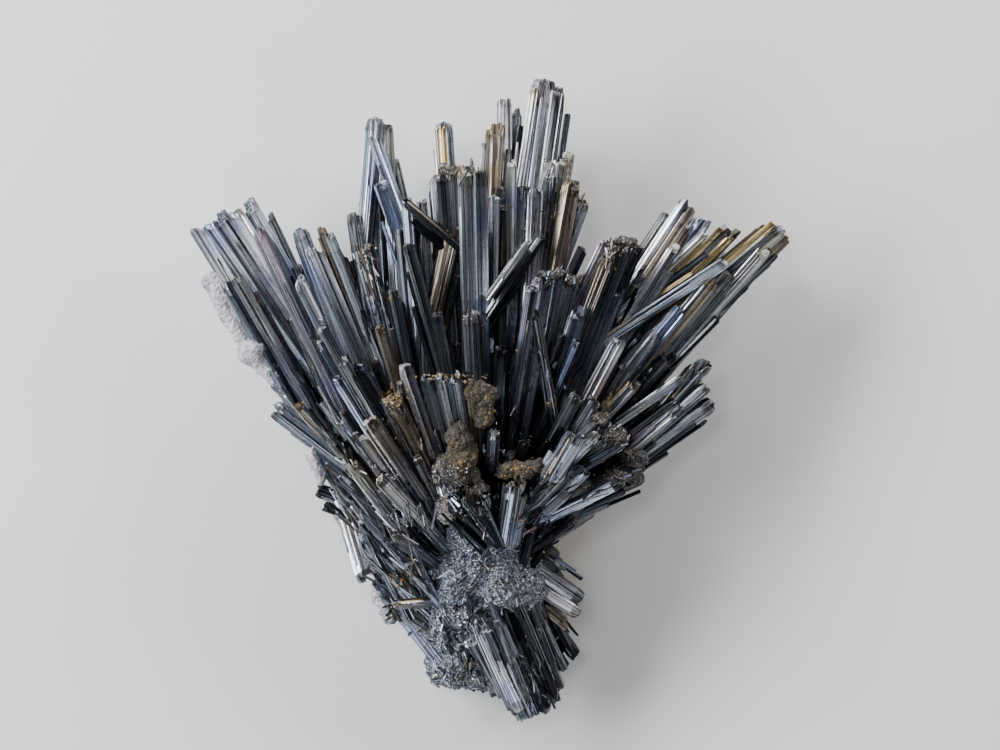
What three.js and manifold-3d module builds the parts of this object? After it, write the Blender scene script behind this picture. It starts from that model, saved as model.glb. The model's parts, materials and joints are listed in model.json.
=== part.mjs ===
// Stibnite crystal cluster, a radiating spray of bladed crystals on a massive root.
// Millimetres, +Z up. The cluster lies on its back: +Y runs from the root to the
// crystal tips, and +Z faces whoever looks down on it.
import * as THREE from "three";
import { mergeVertices } from "three/addons/utils/BufferGeometryUtils.js";
import Module from "manifold-3d";

const wasm = await Module();
wasm.setup();

// Driving dimensions. Plan positions are measured in millimetres from the upper left
// corner of a drawing sheet, x to the right and y downwards. SHEET_CENTRE is the point
// of the sheet that lies over the origin.
const SHEET_CENTRE = { x: 98.3, y: 80.8 };
const HEART = { x: 96.5, y: 112, height: 21 };
const REST_HEIGHT = 0;
const CONTACT_GAP = 0.3;
const FOOT_SHARE = 0.78;
// Crystals narrower than BLADE_BREADTH are four-sided needles.
const BLADE_BREADTH = 2.7;
const BLADE_SIDES = 6;
const NEEDLE_SIDES = 4;
const FINEST_DETAIL = 0.02;

// Each crystal: tip x, y, height; foot x, y; breadth; thickness; roll about its own
// axis in degrees; slant of its end in degrees. Every crystal dips towards the heart of
// the spray, so the height of its foot follows from how far it reaches towards HEART.
const LEFT_SPRAY = [
  [39.3, 45.2, 21, 75, 103, 3.4, 2.8, 20, -30],
  [41.6, 44.2, 23, 84, 106, 2.8, 2.6, -10, -15],
  [43.8, 43.0, 25, 85, 106, 2.6, 2.4, 15, 10],
  [46.4, 41.8, 24, 86, 107, 3.0, 2.6, -15, -10],
  [49.2, 40.8, 22, 87, 107, 3.2, 2.8, 10, 15],
  [51.6, 46.2, 30, 79, 104, 3.0, 2.8, 30, 25],
  [53.4, 43.2, 17, 82, 104, 2.4, 2.2, 0, 20],
  [44.8, 56.6, 28, 73, 107, 2.6, 2.6, -25, -20],
  [47.0, 55.2, 30, 76, 106, 2.6, 2.6, 20, 10],
  [59.8, 46.0, 26, 81, 106, 3.2, 2.4, 0, 10],
  [62.0, 49.8, 29, 86, 106, 2.4, 2.2, 25, 10],
  [63.8, 51.0, 27, 87, 106, 2.3, 2.1, -20, 15],
  [60.0, 56.2, 33, 83, 104, 2.9, 2.5, 25, 35],
  [64.2, 64.6, 36, 87, 108, 2.4, 2.2, 0, 20],
  [64.0, 45.4, 20, 86, 104, 1.8, 1.8, 0, 0],
  [65.6, 46.6, 22, 88, 104, 2.2, 2.0, 15, 0],
  [67.6, 75.8, 43, 88, 110, 2.0, 2.0, 30, 10],
  [68.6, 71.8, 42, 89, 108, 2.6, 2.4, -20, 10],
  [71.0, 74.2, 41, 91, 108, 3.2, 2.4, 15, 20],
  [54.8, 81.4, 29, 84, 104, 4.2, 3.2, -25, -10],
  [63.6, 98.0, 21, 84, 106, 3.2, 3.0, 10, 0],
  [67.8, 94.6, 30, 88, 114, 2.6, 2.4, 0, 0],
  [67.6, 98.0, 24, 88, 126, 2.4, 2.2, 0, 0],
  [66.8, 102.4, 19, 86, 128, 2.2, 2.2, 0, 0],
  [73.0, 116.2, 23, 68, 100, 3.6, 3.0, 0, 15],
  [73.2, 107.2, 31, 82, 124, 2.2, 2.0, 20, 10],
  [76.2, 95.0, 46, 93, 114, 2.7, 2.2, 10, 10],
  [74.4, 84.2, 51, 91, 110, 3.2, 2.6, 20, 10],
  [83.6, 91.4, 43, 93, 110, 2.0, 1.8, 0, 10],
  [78.2, 119.6, 17, 90.2, 135.4, 5.2, 4.0, 0, -10],
  [81.4, 121.8, 22, 94, 131, 3.8, 3.4, 0, 0],
  [71.8, 103.2, 32, 88, 122, 2.6, 2.4, 0, 10],
  [69.0, 84.2, 39, 88, 112, 2.8, 2.6, 0, 0],
  [67.0, 87.2, 37, 89, 114, 2.0, 2.0, 0, 0],
  [71.0, 93.0, 37, 89, 118, 2.8, 2.6, 0, 0],
  [79.4, 106.4, 38, 93, 118, 2.4, 2.2, 0, 0],
  [81.8, 112.6, 35, 93, 126, 2.6, 2.4, 0, 0],
  [76.6, 114.0, 27, 91, 128, 3.0, 2.8, 0, 0],
];

const UPPER_LEFT = [
  [74.9, 23.8, 18, 71.8, 60, 3.6, 3.0, 0, 10],
  [77.0, 24.8, 17, 80.6, 84, 2.8, 2.6, 20, -10],
  [74.8, 27.6, 25, 93, 78, 2.6, 2.4, 25, -50],
  [76.4, 36.6, 32, 94, 90, 2.6, 2.4, 30, 15],
  [70.6, 42.8, 20, 77, 88, 3.0, 2.6, 0, 0],
  [72.8, 49.0, 26, 86, 104, 4.0, 3.6, 0, 0],
  [76.2, 65.6, 41, 88, 106, 2.2, 2.0, 0, 0],
  [81.4, 40.2, 36, 86, 104, 2.3, 2.2, 25, 10],
  [84.2, 40.6, 30, 90, 104, 3.0, 2.6, 15, 10],
  [81.8, 49.2, 45, 95, 98, 2.4, 2.2, 20, 0],
  [91.0, 46.2, 34, 84, 76, 3.6, 2.6, 0, 0],
  [81.2, 73.2, 53, 92, 106, 3.0, 3.0, 15, 0],
  [77.4, 79.4, 48, 90, 106, 2.8, 2.6, 0, 0],
  [79.4, 80.0, 50, 92, 108, 3.0, 3.0, 0, 0],
];

const CENTRE = [
  [88.4, 25.0, 24, 93, 90, 4.0, 3.4, 20, 10],
  [88.2, 33.6, 30, 93, 100, 5.0, 3.4, 0, 0],
  [91.4, 34.2, 26, 95, 90, 2.4, 2.2, 0, 0],
  [93.2, 33.8, 39, 95.4, 106, 3.2, 3.0, 15, 5],
  [95.8, 34.2, 40, 96.8, 106, 3.2, 3.0, -15, -5],
  [98.4, 25.4, 24, 95.6, 90, 4.2, 2.6, 0, -15],
  [100.8, 19.2, 21, 101.8, 96, 3.0, 2.8, 20, 5],
  [103.0, 21.8, 17, 103.0, 90, 2.0, 2.0, 0, 20],
  [107.2, 17.0, 24, 97.0, 84, 3.6, 2.8, 20, -5],
  [110.4, 17.2, 23, 102.6, 86, 5.0, 3.2, -10, 20],
  [102.4, 32.2, 32, 101.4, 100, 2.2, 2.2, 15, 0],
  [113.0, 31.0, 29, 101, 104, 3.8, 3.0, 0, 0],
  [116.6, 40.4, 27, 104, 76, 2.8, 2.4, 0, 0],
  [114.2, 37.0, 34, 103, 100, 3.6, 3.0, 20, 10],
  [107.0, 38.2, 37, 104, 102, 2.5, 2.2, 10, 0],
  [110.2, 35.0, 34, 103, 100, 3.0, 2.6, 20, 0],
  [108.4, 47.6, 38.5, 93.8, 68.5, 2.0, 2.0, 0, 0],
  [105.0, 38.0, 29, 100, 100, 4.2, 3.6, 0, 0],
  [99.6, 38.0, 27, 98.6, 100, 3.4, 3.4, 0, 0],
  [94.4, 62.6, 44, 96.6, 106, 4.0, 3.2, 0, 0],
  [100.2, 69.8, 43, 99.0, 108, 2.8, 2.6, 0, 0],
  [106.8, 56.6, 44, 99, 106, 3.2, 2.6, 20, 10],
  [109.8, 54.8, 42, 101, 106, 3.6, 2.8, -10, 0],
  [112.4, 54.4, 39, 103, 104, 2.6, 2.4, 0, 0],
  [115.2, 54.8, 36, 104, 92, 3.2, 2.8, 0, 15],
  [107.0, 62.6, 50, 111.4, 88, 1.8, 1.8, 0, 0],
  [85.4, 75.6, 52, 94, 106, 2.4, 2.4, 0, 0],
  [88.2, 74.8, 53, 95, 106, 2.6, 2.6, 15, 0],
  [91.0, 75.0, 53, 96, 106, 2.6, 2.6, -15, 0],
  [93.8, 76.4, 50, 97, 106, 2.8, 2.6, 0, 0],
];

const RIGHT_MIDDLE = [
  [121.0, 48.6, 38, 102.4, 86, 2.2, 2.2, 20, 10],
  [121.4, 51.6, 39, 103, 100, 3.4, 3.0, 0, 0],
  [124.6, 48.6, 36, 105, 102, 4.4, 3.2, 10, 0],
  [127.4, 49.6, 32, 107, 102, 2.2, 2.2, 0, 0],
  [115.6, 62.0, 38, 104, 100, 3.2, 2.8, 15, 0],
  [123.8, 67.6, 39, 105, 104, 3.4, 2.8, 10, 10],
  [115.0, 79.0, 43, 101, 106, 2.6, 2.6, 0, 0],
  [118.8, 79.8, 41, 103, 106, 3.0, 2.8, 0, 0],
];

const RIGHT_SPRAY = [
  [137.2, 40.2, 22, 103, 92, 2.6, 2.4, 20, -15],
  [137.2, 44.8, 27, 105, 94, 2.8, 2.4, 15, -10],
  [140.4, 43.4, 24, 107.6, 94, 3.4, 2.6, 0, 10],
  [135.0, 49.2, 31, 105, 98, 2.5, 2.2, 20, 0],
  [141.0, 46.6, 30, 106, 80, 2.2, 2.0, 0, 10],
  [145.6, 46.2, 26, 106, 85, 3.5, 2.6, 10, 0],
  [147.0, 45.8, 22, 108, 88, 3.0, 2.4, 0, 10],
  [156.4, 45.2, 20, 107, 87, 3.8, 2.8, 10, 10],
  [157.6, 47.4, 18, 108, 92, 2.5, 2.4, -10, 15],
  [153.0, 50.2, 24, 110, 98, 2.8, 2.4, 15, 10],
  [155.2, 50.6, 18, 110, 93, 2.3, 2.2, 0, 20],
  [145.0, 52.4, 33, 106, 78, 2.4, 2.2, 20, 10],
  [146.0, 55.2, 29, 110, 98, 3.2, 2.8, 0, 0],
  [142.6, 55.8, 31, 108, 98, 3.5, 2.8, 10, 0],
  [136.0, 62.0, 32, 107, 98, 3.0, 2.6, 0, 0],
  [131.0, 66.8, 34, 106, 99, 3.0, 2.6, 0, 0],
  [134.0, 70.8, 31, 107, 101, 3.0, 2.6, 0, 0],
  [141.2, 72.6, 26, 114, 102, 3.4, 2.8, 0, 10],
  [141.6, 77.0, 25, 112, 103, 2.8, 2.4, 10, 0],
  [142.2, 80.8, 23, 110, 104, 3.5, 2.6, 0, 0],
  [140.8, 83.6, 20, 110, 105, 2.6, 2.4, 0, 10],
  [136.2, 75.8, 32, 106, 97, 2.0, 1.8, 0, 0],
  [127.0, 76.6, 37, 105, 100, 2.4, 2.2, 0, 0],
  [135.6, 80.2, 28, 108, 101, 3.0, 2.6, 0, 0],
];

const LOWER_RIGHT = [
  [124.6, 87.2, 37, 99, 103, 4.6, 4.0, 0, 0],
  [128.4, 92.0, 29, 100, 107, 4.6, 4.0, 0, 0],
  [128.2, 95.4, 25, 100, 108, 3.0, 2.8, 0, 10],
  [124.2, 95.6, 32, 100, 108, 4.0, 3.6, 0, 0],
  [114.4, 86.6, 47, 99, 108, 3.0, 2.4, 15, 0],
  [117.0, 93.6, 37, 99, 110, 3.4, 3.0, 0, 0],
  [113.4, 93.0, 39, 99, 109, 3.4, 3.0, 0, 0],
  [113.6, 97.6, 34, 98, 112, 3.6, 3.4, 0, 0],
  [103.4, 95.8, 45, 99.6, 110, 3.6, 2.2, 0, 10],
  [98.8, 86.2, 43, 97.6, 108, 2.6, 2.4, 0, 0],
  [91.6, 99.4, 43, 97, 114, 4.8, 4.0, 10, 0],
  [96.4, 98.6, 41, 97.6, 112, 3.4, 3.2, 0, 0],
  [103.0, 100.0, 38, 98, 112, 4.0, 3.4, 0, 0],
];

const ROOT_CRYSTALS = [
  [107.0, 143.6, 12, 97.4, 116, 6.4, 8.0, 0, 10],
  [110.4, 142.4, 13, 100, 116, 5.4, 5.4, 0, 10],
  [111.8, 138.4, 10, 101, 116, 3.0, 4.0, 0, 20],
  [98.6, 138.2, 13, 94, 120, 6.4, 8.0, 0, 0],
  [92.4, 137.2, 12, 93, 120, 6.4, 8.0, 0, 0],
  [88.4, 135.6, 13, 92, 118, 3.6, 5.0, 0, -20],
  [116.6, 120.9, 22, 100, 109, 4.6, 3.2, 20, 0],
  [115.6, 122.8, 23, 100, 113, 2.6, 2.4, 0, 0],
  [115.2, 131.6, 11, 101, 112, 2.8, 2.6, 0, 10],
  [113.6, 125.2, 19, 100, 114, 2.6, 2.4, 0, 0],
  [110.6, 127.6, 14, 100, 116, 4.0, 4.0, 0, 0],
  [111.8, 112.4, 21, 100, 106, 4.6, 3.6, 0, 0],
];

// Back of the spray, towards the surface it lies on.
const BACK = [
  [43.6, 50.0, 10, 94, 112, 4.2, 3.6, 0, 0],
  [49.6, 46.0, 12, 94, 110, 4.2, 3.6, 0, 0],
  [58.0, 53.0, 1.2, 95, 110, 4.4, 3.6, 0, 0],
  [56.4, 67.4, 15, 90, 110, 4.6, 3.8, 0, 0],
  [66.0, 50.4, 10, 95, 110, 4.0, 3.4, 0, 0],
  [73.6, 36.0, 9, 95, 108, 3.4, 3.0, 0, 0],
  [78.0, 32.0, 11, 96, 108, 3.4, 3.0, 0, 0],
  [88.6, 29.0, 13, 97, 108, 3.6, 3.2, 0, 0],
  [95.6, 41.0, 1.2, 97, 108, 4.4, 3.6, 0, 0],
  [101.2, 23.6, 11, 98, 108, 3.4, 3.0, 0, 0],
  [108.0, 23.0, 12, 99, 108, 4.6, 3.2, 0, 0],
  [112.6, 40.0, 7, 100, 108, 4.2, 3.4, 0, 0],
  [121.0, 54.0, 1.2, 101, 108, 4.4, 3.6, 0, 0],
  [127.0, 57.0, 12, 102, 108, 3.8, 3.2, 0, 0],
  [136.6, 46.6, 9, 103, 106, 3.6, 3.2, 0, 0],
  [145.0, 50.0, 11, 103, 107, 4.0, 3.4, 0, 0],
  [153.6, 50.6, 8, 104, 107, 3.6, 3.2, 0, 0],
  [139.0, 76.4, 11, 103, 108, 4.2, 3.6, 0, 0],
  [127.0, 93.4, 10, 102, 110, 4.4, 3.8, 0, 0],
  [118.2, 101.0, 10, 101, 112, 3.8, 3.4, 0, 0],
  [66.8, 99.2, 8, 94, 114, 3.8, 3.4, 0, 0],
  [74.0, 112.0, 12, 94, 118, 3.8, 3.4, 0, 0],
  [56.6, 82.6, 11, 94, 112, 4.0, 3.6, 0, 0],
  [80.4, 122.4, 10, 94, 124, 4.2, 3.8, 0, 0],
];

// Thick intergrown cores under the visible blades.
const CORES = [
  [64, 74, 18, 96, 114, 13, 11, 0, 0],
  [84, 62, 22, 97, 112, 10, 12, 0, 0],
  [98, 56, 24, 98, 112, 11, 14, 0, 0],
  [124, 78, 22, 99, 112, 13, 12, 0, 0],
  [116, 98, 24, 98, 112, 9, 10, 0, 0],
  [76, 102, 22, 98, 114, 11, 12, 0, 0],
  [90, 88, 36, 97, 112, 12, 12, 0, 0],
  [104, 88, 29, 98, 112, 13, 10, 0, 0],
];

// Massive fine-grained root: centre x, y, height; half sizes along x, y and z.
const ROOT_MASS = [
  [94.0, 93.0, 19.0, 22.0, 20.0, 14.0],
  [96.4, 117.6, 17.4, 9.6, 12.0, 18.8],
  [98.0, 128.6, 14.4, 9.8, 10.0, 15.8],
];

// Other minerals on the crystals: centre x, y, height; half sizes along x, y and z.
const COATINGS = {
  pale_crust_upper: [
    [44.4, 58.6, 26, 3.4, 4.6, 3.4],
    [46.8, 63.6, 25.5, 3.0, 5.6, 3.4],
  ],
  pale_crust_nodule: [
    [51.4, 70.2, 26, 2.9, 3.2, 3.6],
    [54.4, 74.2, 25, 2.4, 3.0, 3.0],
  ],
  pale_crust_lower: [
    [63.2, 92.4, 23.6, 2.2, 4.4, 2.6],
  ],
  pale_crust_foot: [
    [75.6, 119.0, 22, 1.8, 2.6, 2.6],
    [77.2, 122.0, 20.5, 2.2, 3.0, 2.8],
  ],
  ochre_clot_upper: [
    [95.2, 78.4, 49, 2.8, 3.0, 3.2],
    [96.6, 82.2, 46, 2.6, 3.4, 3.4],
  ],
  ochre_clot_middle: [
    [92.4, 87.6, 46, 3.4, 3.4, 3.4],
    [91.8, 93.0, 44, 4.2, 4.2, 3.6],
  ],
  ochre_strip: [
    [102.2, 94.0, 41, 3.2, 2.4, 3.0],
    [106.6, 92.8, 41, 3.2, 1.9, 2.8],
  ],
};

// A loose splinter lodged across the left side of the root.
const LODGED_SPLINTER = [78.6, 120.8, 31, 88.6, 120.2, 2.0, 1.8, 0, 0];

const onSheet = (x, y, height) =>
  new THREE.Vector3(x - SHEET_CENTRE.x, SHEET_CENTRE.y - y, height);

// A closed three.js shape as a manifold solid.
function solidOf(geometry) {
  geometry.deleteAttribute("normal");
  geometry.deleteAttribute("uv");
  const merged = mergeVertices(geometry, 1e-4);
  return new wasm.Manifold(new wasm.Mesh({
    numProp: 3,
    vertProperties: new Float32Array(merged.attributes.position.array),
    triVerts: new Uint32Array(merged.index.array),
  }));
}

// One crystal: a flattened prism, a little slimmer at its foot, with a slanted end.
// margin makes it that much larger all round.
function crystal(row, margin = 0) {
  const [tipX, tipY, tipZ, footX, footY, breadth, thickness, roll, slant] = row;
  const reach = Math.hypot(footX - tipX, footY - tipY) / Math.hypot(HEART.x - tipX, HEART.y - tipY);
  const footZ = tipZ + (HEART.height - tipZ) * Math.min(reach, 1);
  const tip = onSheet(tipX, tipY, tipZ);
  const foot = onSheet(footX, footY, footZ);
  const along = tip.clone().sub(foot);
  const length = along.length() + 2 * margin;
  along.normalize();
  const across = new THREE.Vector3().crossVectors(along, new THREE.Vector3(0, 0, 1)).normalize();
  across.applyAxisAngle(along, THREE.MathUtils.degToRad(roll));
  const out = new THREE.Vector3().crossVectors(across, along);

  const sides = breadth < BLADE_BREADTH ? NEEDLE_SIDES : BLADE_SIDES;
  const cornerMargin = margin / Math.cos(Math.PI / sides);
  const prism = new THREE.CylinderGeometry(1, FOOT_SHARE, length, sides);
  prism.scale(breadth / 2 + cornerMargin, 1, thickness / 2 + cornerMargin);
  const points = prism.attributes.position;
  const rise = Math.tan(THREE.MathUtils.degToRad(slant));
  for (let i = 0; i < points.count; i += 1) {
    if (points.getY(i) > 0) {
      points.setY(i, points.getY(i) + rise * points.getX(i));
    }
  }
  const place = new THREE.Matrix4().makeBasis(across, along, out);
  place.setPosition(tip.clone().add(foot).multiplyScalar(0.5));
  prism.applyMatrix4(place);
  return solidOf(prism);
}

// One rounded, uneven lump of massive mineral.
function lump([x, y, height, halfX, halfY, halfZ], margin = 0) {
  const ball = new THREE.IcosahedronGeometry(1, 1);
  const points = ball.attributes.position;
  const point = new THREE.Vector3();
  for (let i = 0; i < points.count; i += 1) {
    point.fromBufferAttribute(points, i);
    const swell = 1 + 0.08 * Math.sin(5 * point.x + 3 * y) * Math.cos(4 * point.y - x);
    points.setXYZ(i, point.x * swell, point.y * swell, point.z * swell);
  }
  ball.scale(halfX + margin, halfY + margin, halfZ + margin);
  const centre = onSheet(x, y, height);
  ball.translate(centre.x, centre.y, centre.z);
  return solidOf(ball);
}

const joined = (solids) => solids.reduce((sum, solid) => sum.add(solid));

// The largest body of a solid, without sealed hollows or loose chips.
function largestBody(solid) {
  const bodies = solid.decompose();
  return bodies.reduce((best, body) => (body.volume() > best.volume() ? body : best));
}

const CRYSTALS = [
  ...LEFT_SPRAY, ...UPPER_LEFT, ...CENTRE, ...RIGHT_MIDDLE, ...RIGHT_SPRAY,
  ...LOWER_RIGHT, ...ROOT_CRYSTALS, ...BACK, ...CORES,
];

function cluster(margin = 0) {
  const solids = CRYSTALS.map((row) => crystal(row, margin));
  ROOT_MASS.forEach((row) => solids.push(lump(row, margin)));
  return joined(solids);
}

// Everything below the resting surface is worn away flat.
function restingSlab() {
  const depth = 20;
  const slab = new THREE.BoxGeometry(200, 200, depth);
  slab.translate(0, 0, REST_HEIGHT - depth / 2);
  return solidOf(slab);
}

function meshOf(name, solid, colour, roughness, metalness) {
  const { vertProperties, triVerts } = solid.getMesh();
  const geometry = new THREE.BufferGeometry();
  geometry.setAttribute("position", new THREE.BufferAttribute(vertProperties, 3));
  geometry.setIndex(new THREE.BufferAttribute(triVerts, 1));
  geometry.computeVertexNormals();
  const material = new THREE.MeshStandardMaterial({ color: colour, roughness, metalness });
  const mesh = new THREE.Mesh(geometry, material);
  mesh.name = name;
  return mesh;
}

const specimen = new THREE.Group();
specimen.name = "stibnite_specimen";

const slab = restingSlab();
const grown = largestBody(cluster().subtract(slab)).simplify(FINEST_DETAIL);
specimen.add(meshOf("stibnite_cluster", grown, 0x6d7480, 0.35, 0.8));

const clearance = cluster(CONTACT_GAP);
const COATING_COLOURS = { pale: 0xcfc8c8, ochre: 0x6e5a3c };
Object.entries(COATINGS).forEach(([name, rows]) => {
  const coat = joined(rows.map((row) => lump(row))).subtract(clearance);
  const colour = COATING_COLOURS[name.split("_")[0]];
  specimen.add(meshOf(name, largestBody(coat).simplify(FINEST_DETAIL), colour, 0.9, 0));
});

const splinter = crystal(LODGED_SPLINTER).subtract(clearance);
specimen.add(meshOf("lodged_splinter", largestBody(splinter).simplify(FINEST_DETAIL), 0x8f98ab, 0.3, 0.8));

export default specimen;
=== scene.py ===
import json
import math
import random
from collections import namedtuple

import bmesh
import bpy
import numpy as np
from bpy.props import FloatProperty, FloatVectorProperty, IntProperty, PointerProperty
from bpy.types import Operator, Panel, PropertyGroup
from mathutils import Matrix, Vector, noise

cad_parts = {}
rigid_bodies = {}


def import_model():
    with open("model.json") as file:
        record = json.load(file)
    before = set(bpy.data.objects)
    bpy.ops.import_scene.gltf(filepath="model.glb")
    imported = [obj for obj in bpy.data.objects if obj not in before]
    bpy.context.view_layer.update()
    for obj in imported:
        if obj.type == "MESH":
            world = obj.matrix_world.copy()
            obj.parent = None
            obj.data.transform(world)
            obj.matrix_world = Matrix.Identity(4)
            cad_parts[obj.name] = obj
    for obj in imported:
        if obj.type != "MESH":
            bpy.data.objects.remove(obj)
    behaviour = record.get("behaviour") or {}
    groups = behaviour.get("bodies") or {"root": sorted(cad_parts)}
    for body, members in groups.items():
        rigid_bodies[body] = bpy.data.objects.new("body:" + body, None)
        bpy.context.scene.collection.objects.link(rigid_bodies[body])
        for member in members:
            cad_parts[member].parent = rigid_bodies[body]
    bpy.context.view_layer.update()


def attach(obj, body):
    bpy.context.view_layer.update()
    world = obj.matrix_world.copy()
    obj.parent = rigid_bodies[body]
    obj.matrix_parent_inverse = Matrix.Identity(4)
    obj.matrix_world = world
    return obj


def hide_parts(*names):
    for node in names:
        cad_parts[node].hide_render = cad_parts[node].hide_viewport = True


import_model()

bl_info = {
    "name": "Stibnite specimen",
    "version": (1, 0, 0),
    "blender": (4, 5, 0),
    "location": "View3D > Sidebar > Specimen",
    "description": "Models a stibnite crystal cluster with its crusts, and a studio stage",
    "category": "Object",
}

MM = 0.001

# Plan positions are in millimetres on a drawing sheet, x to the right and y downwards.
# SHEET_CENTRE is the point of the sheet over the origin. HEART is the middle that the crystals
# fan out from, and LOW_HEART is the one that the crossing needles fan out from.
SHEET_CENTRE = (98.3, 80.8)
HEART = Vector((96.5, 112.0, 21.0))
LOW_HEART = Vector((94.0, 134.0, 21.0))

# Surface colours of the crystals. Brown, tan and gold are stains on them; the spread from
# silver to dark is partly their own tone and partly painted light, crystals made lighter or
# darker as if they caught or missed the lamps.
TONES = {
    "steel": (0.50, 0.53, 0.59),
    "silver": (0.89, 0.90, 0.93),
    "sky": (0.60, 0.67, 0.79),
    "blue": (0.36, 0.45, 0.68),
    "lilac": (0.56, 0.53, 0.66),
    "grey": (0.33, 0.35, 0.38),
    "dark": (0.10, 0.105, 0.12),
    "brown": (0.24, 0.19, 0.15),
    "tan": (0.55, 0.47, 0.37),
    "gold": (0.80, 0.60, 0.30),
}

# The rows of the next tables are crystals: tip, foot, breadth, thickness and tone, then the roll
# about its length and the slant of its end, in degrees, where they aren't 0. The foot lies on the
# way down to the height of the heart, unless the row ends with a height of its own.
Crystal = namedtuple(
    "Crystal",
    "tip_x tip_y tip_z foot_x foot_y breadth thickness tone roll slant foot_z",
    defaults=(0, 0, None),
)

LEFT_SPRAY = [
    (39.3, 45.2, 21, 75, 103, 4, 2.8, "silver", 20, -30),
    (41.6, 44.2, 23, 84, 106, 3.4, 2.6, "sky", -10, -15),
    (43.8, 43, 25, 85, 106, 3.2, 2.4, "steel", 15, 10),
    (46.4, 41.8, 24, 86, 107, 3.6, 2.6, "silver", -15, -10),
    (49.2, 40.8, 22, 87, 107, 3.8, 2.8, "sky", 10, 15),
    (51.6, 46.2, 30, 79, 104, 3, 2.8, "lilac", 30, 25),
    (53.4, 43.2, 17, 82, 104, 2.4, 2.2, "grey", 0, 20),
    (44.8, 56.6, 28, 73, 107, 2.6, 2.6, "sky", -25, -20),
    (47, 55.2, 30, 76, 106, 2.6, 2.6, "steel", 20, 10),
    (59.8, 46, 26, 81, 106, 3.2, 2.4, "sky", 0, 10),
    (62, 49.8, 29, 86, 106, 2.4, 2.2, "sky", 25, 10),
    (63.8, 51, 27, 87, 106, 2.3, 2.1, "steel", -20, 15),
    (60, 56.2, 33, 83, 104, 2.9, 2.5, "sky", 25, 35),
    (64.2, 64.6, 36, 87, 108, 2.4, 2.2, "steel", 0, 20),
    (64, 45.4, 20, 86, 104, 1.8, 1.8, "brown"),
    (65.6, 46.6, 22, 88, 104, 2.2, 2, "steel", 15),
    (67.6, 75.8, 43, 88, 110, 2, 2, "sky", 30, 10),
    (68.6, 71.8, 42, 89, 108, 2.6, 2.4, "silver", -20, 10),
    (71, 74.2, 41, 91, 108, 3.2, 2.4, "dark", 15, 20),
    (54.8, 81.4, 29, 84, 104, 4.2, 3.2, "sky", -25, -10),
    (63.6, 98, 21, 84, 106, 3.2, 3, "dark", 10),
    (67.8, 94.6, 30, 88, 114, 2.6, 2.4, "steel"),
    (67.6, 98, 24, 88, 126, 2.4, 2.2, "steel"),
    (66.8, 102.4, 19, 86, 128, 2.2, 2.2, "silver"),
    (73, 116.2, 23, 68, 100, 3.6, 3, "silver", 0, 15),
    (73.2, 107.2, 31, 82, 124, 2.2, 2, "grey", 20, 10),
    (76.2, 95, 47, 93, 114, 3.4, 2.6, "silver", 10, 10),
    (74.2, 84, 51.4, 91, 110, 3.8, 2.8, "silver", 20, 10),
    (83.6, 91.4, 43, 93, 110, 2, 1.8, "silver", 0, 10),
    (78.6, 119.4, 17, 90.8, 135.2, 4, 4, "steel", 0, -10),
    (81.4, 121.8, 22, 94, 131, 3.8, 3.4, "grey"),
    (71.8, 103.2, 32, 88, 122, 2.6, 2.4, "sky", 0, 10),
    (69, 84.2, 39, 88, 112, 2.8, 2.6, "sky"),
    (67, 87.2, 37, 89, 114, 2, 2, "dark"),
    (71, 93, 37, 89, 118, 2.8, 2.6, "silver"),
    (79.4, 106.4, 38, 93, 118, 2.4, 2.2, "steel"),
    (81.8, 112.6, 35, 93, 126, 2.6, 2.4, "sky"),
    (76.6, 114, 27, 91, 128, 3, 2.8, "sky"),
    (56.8, 51.8, 19, 82, 104, 2.4, 2.2, "steel"),
    (72, 73.4, 37, 92, 108, 2.2, 2, "sky", 0, -20),
    (63.8, 67.4, 34, 86, 108, 2, 2, "steel"),
    (59.6, 81.2, 33, 84, 106, 2.2, 2.2, "tan"),
    (54.4, 76.6, 22, 80, 102, 2, 2, "blue", 0, 20),
    (65.2, 101, 19, 84, 110, 2.4, 2.4, "dark"),
    (65.6, 92.6, 25, 86, 112, 2.4, 2.4, "tan"),
    (70.2, 97, 29, 90, 122, 2.4, 2.2, "steel", 25, 10),
    (73, 96, 33, 91, 120, 2.6, 2.4, "steel", -15, 10),
    (77.4, 118.4, 21, 74, 105, 3.4, 2.8, "steel"),
    (61.8, 82.2, 32, 85, 110, 2.6, 2.4, "grey"),
    (65, 80.4, 36, 86, 108, 2.4, 2.2, "steel", 20),
]

UPPER_LEFT = [
    (74.9, 23.8, 18, 71.8, 60, 3.6, 3, "steel", 0, 10),
    (77, 24.8, 17, 80.6, 84, 2.8, 2.6, "grey", 20, -10),
    (74.8, 27.6, 25, 93, 78, 2.6, 2.4, "sky", 25, -50),
    (76.4, 36.6, 32, 94, 90, 2.6, 2.4, "blue", 30, 15),
    (70.6, 42.8, 20, 77, 88, 3, 2.6, "grey"),
    (72.8, 49, 26, 86, 104, 4.4, 3.6, "grey"),
    (76.2, 65.6, 41, 88, 106, 2.2, 2, "tan"),
    (81.4, 40.2, 36, 86, 104, 2.3, 2.2, "sky", 25, 10),
    (84.2, 40.6, 30, 90, 104, 3, 2.6, "silver", 15, 10),
    (81.8, 49.2, 45, 95, 98, 2.4, 2.2, "grey", 20),
    (91, 46.2, 34, 84, 76, 3.6, 2.6, "tan"),
    (81.2, 73.2, 53, 92, 106, 3, 3, "silver", 15),
    (77.4, 79.4, 48, 90, 106, 2.8, 2.6, "grey"),
    (79.4, 80, 50, 92, 108, 3, 3, "tan"),
    (81, 40.4, 38, 93.6, 51, 1.6, 1.6, "dark"),
    (87.4, 43.6, 26, 92, 104, 2.8, 2.6, "steel"),
    (78.8, 58.2, 38, 88, 104, 2.4, 2.2, "grey"),
    (84.8, 62.6, 38, 86, 104, 2.2, 2, "grey"),
]

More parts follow.
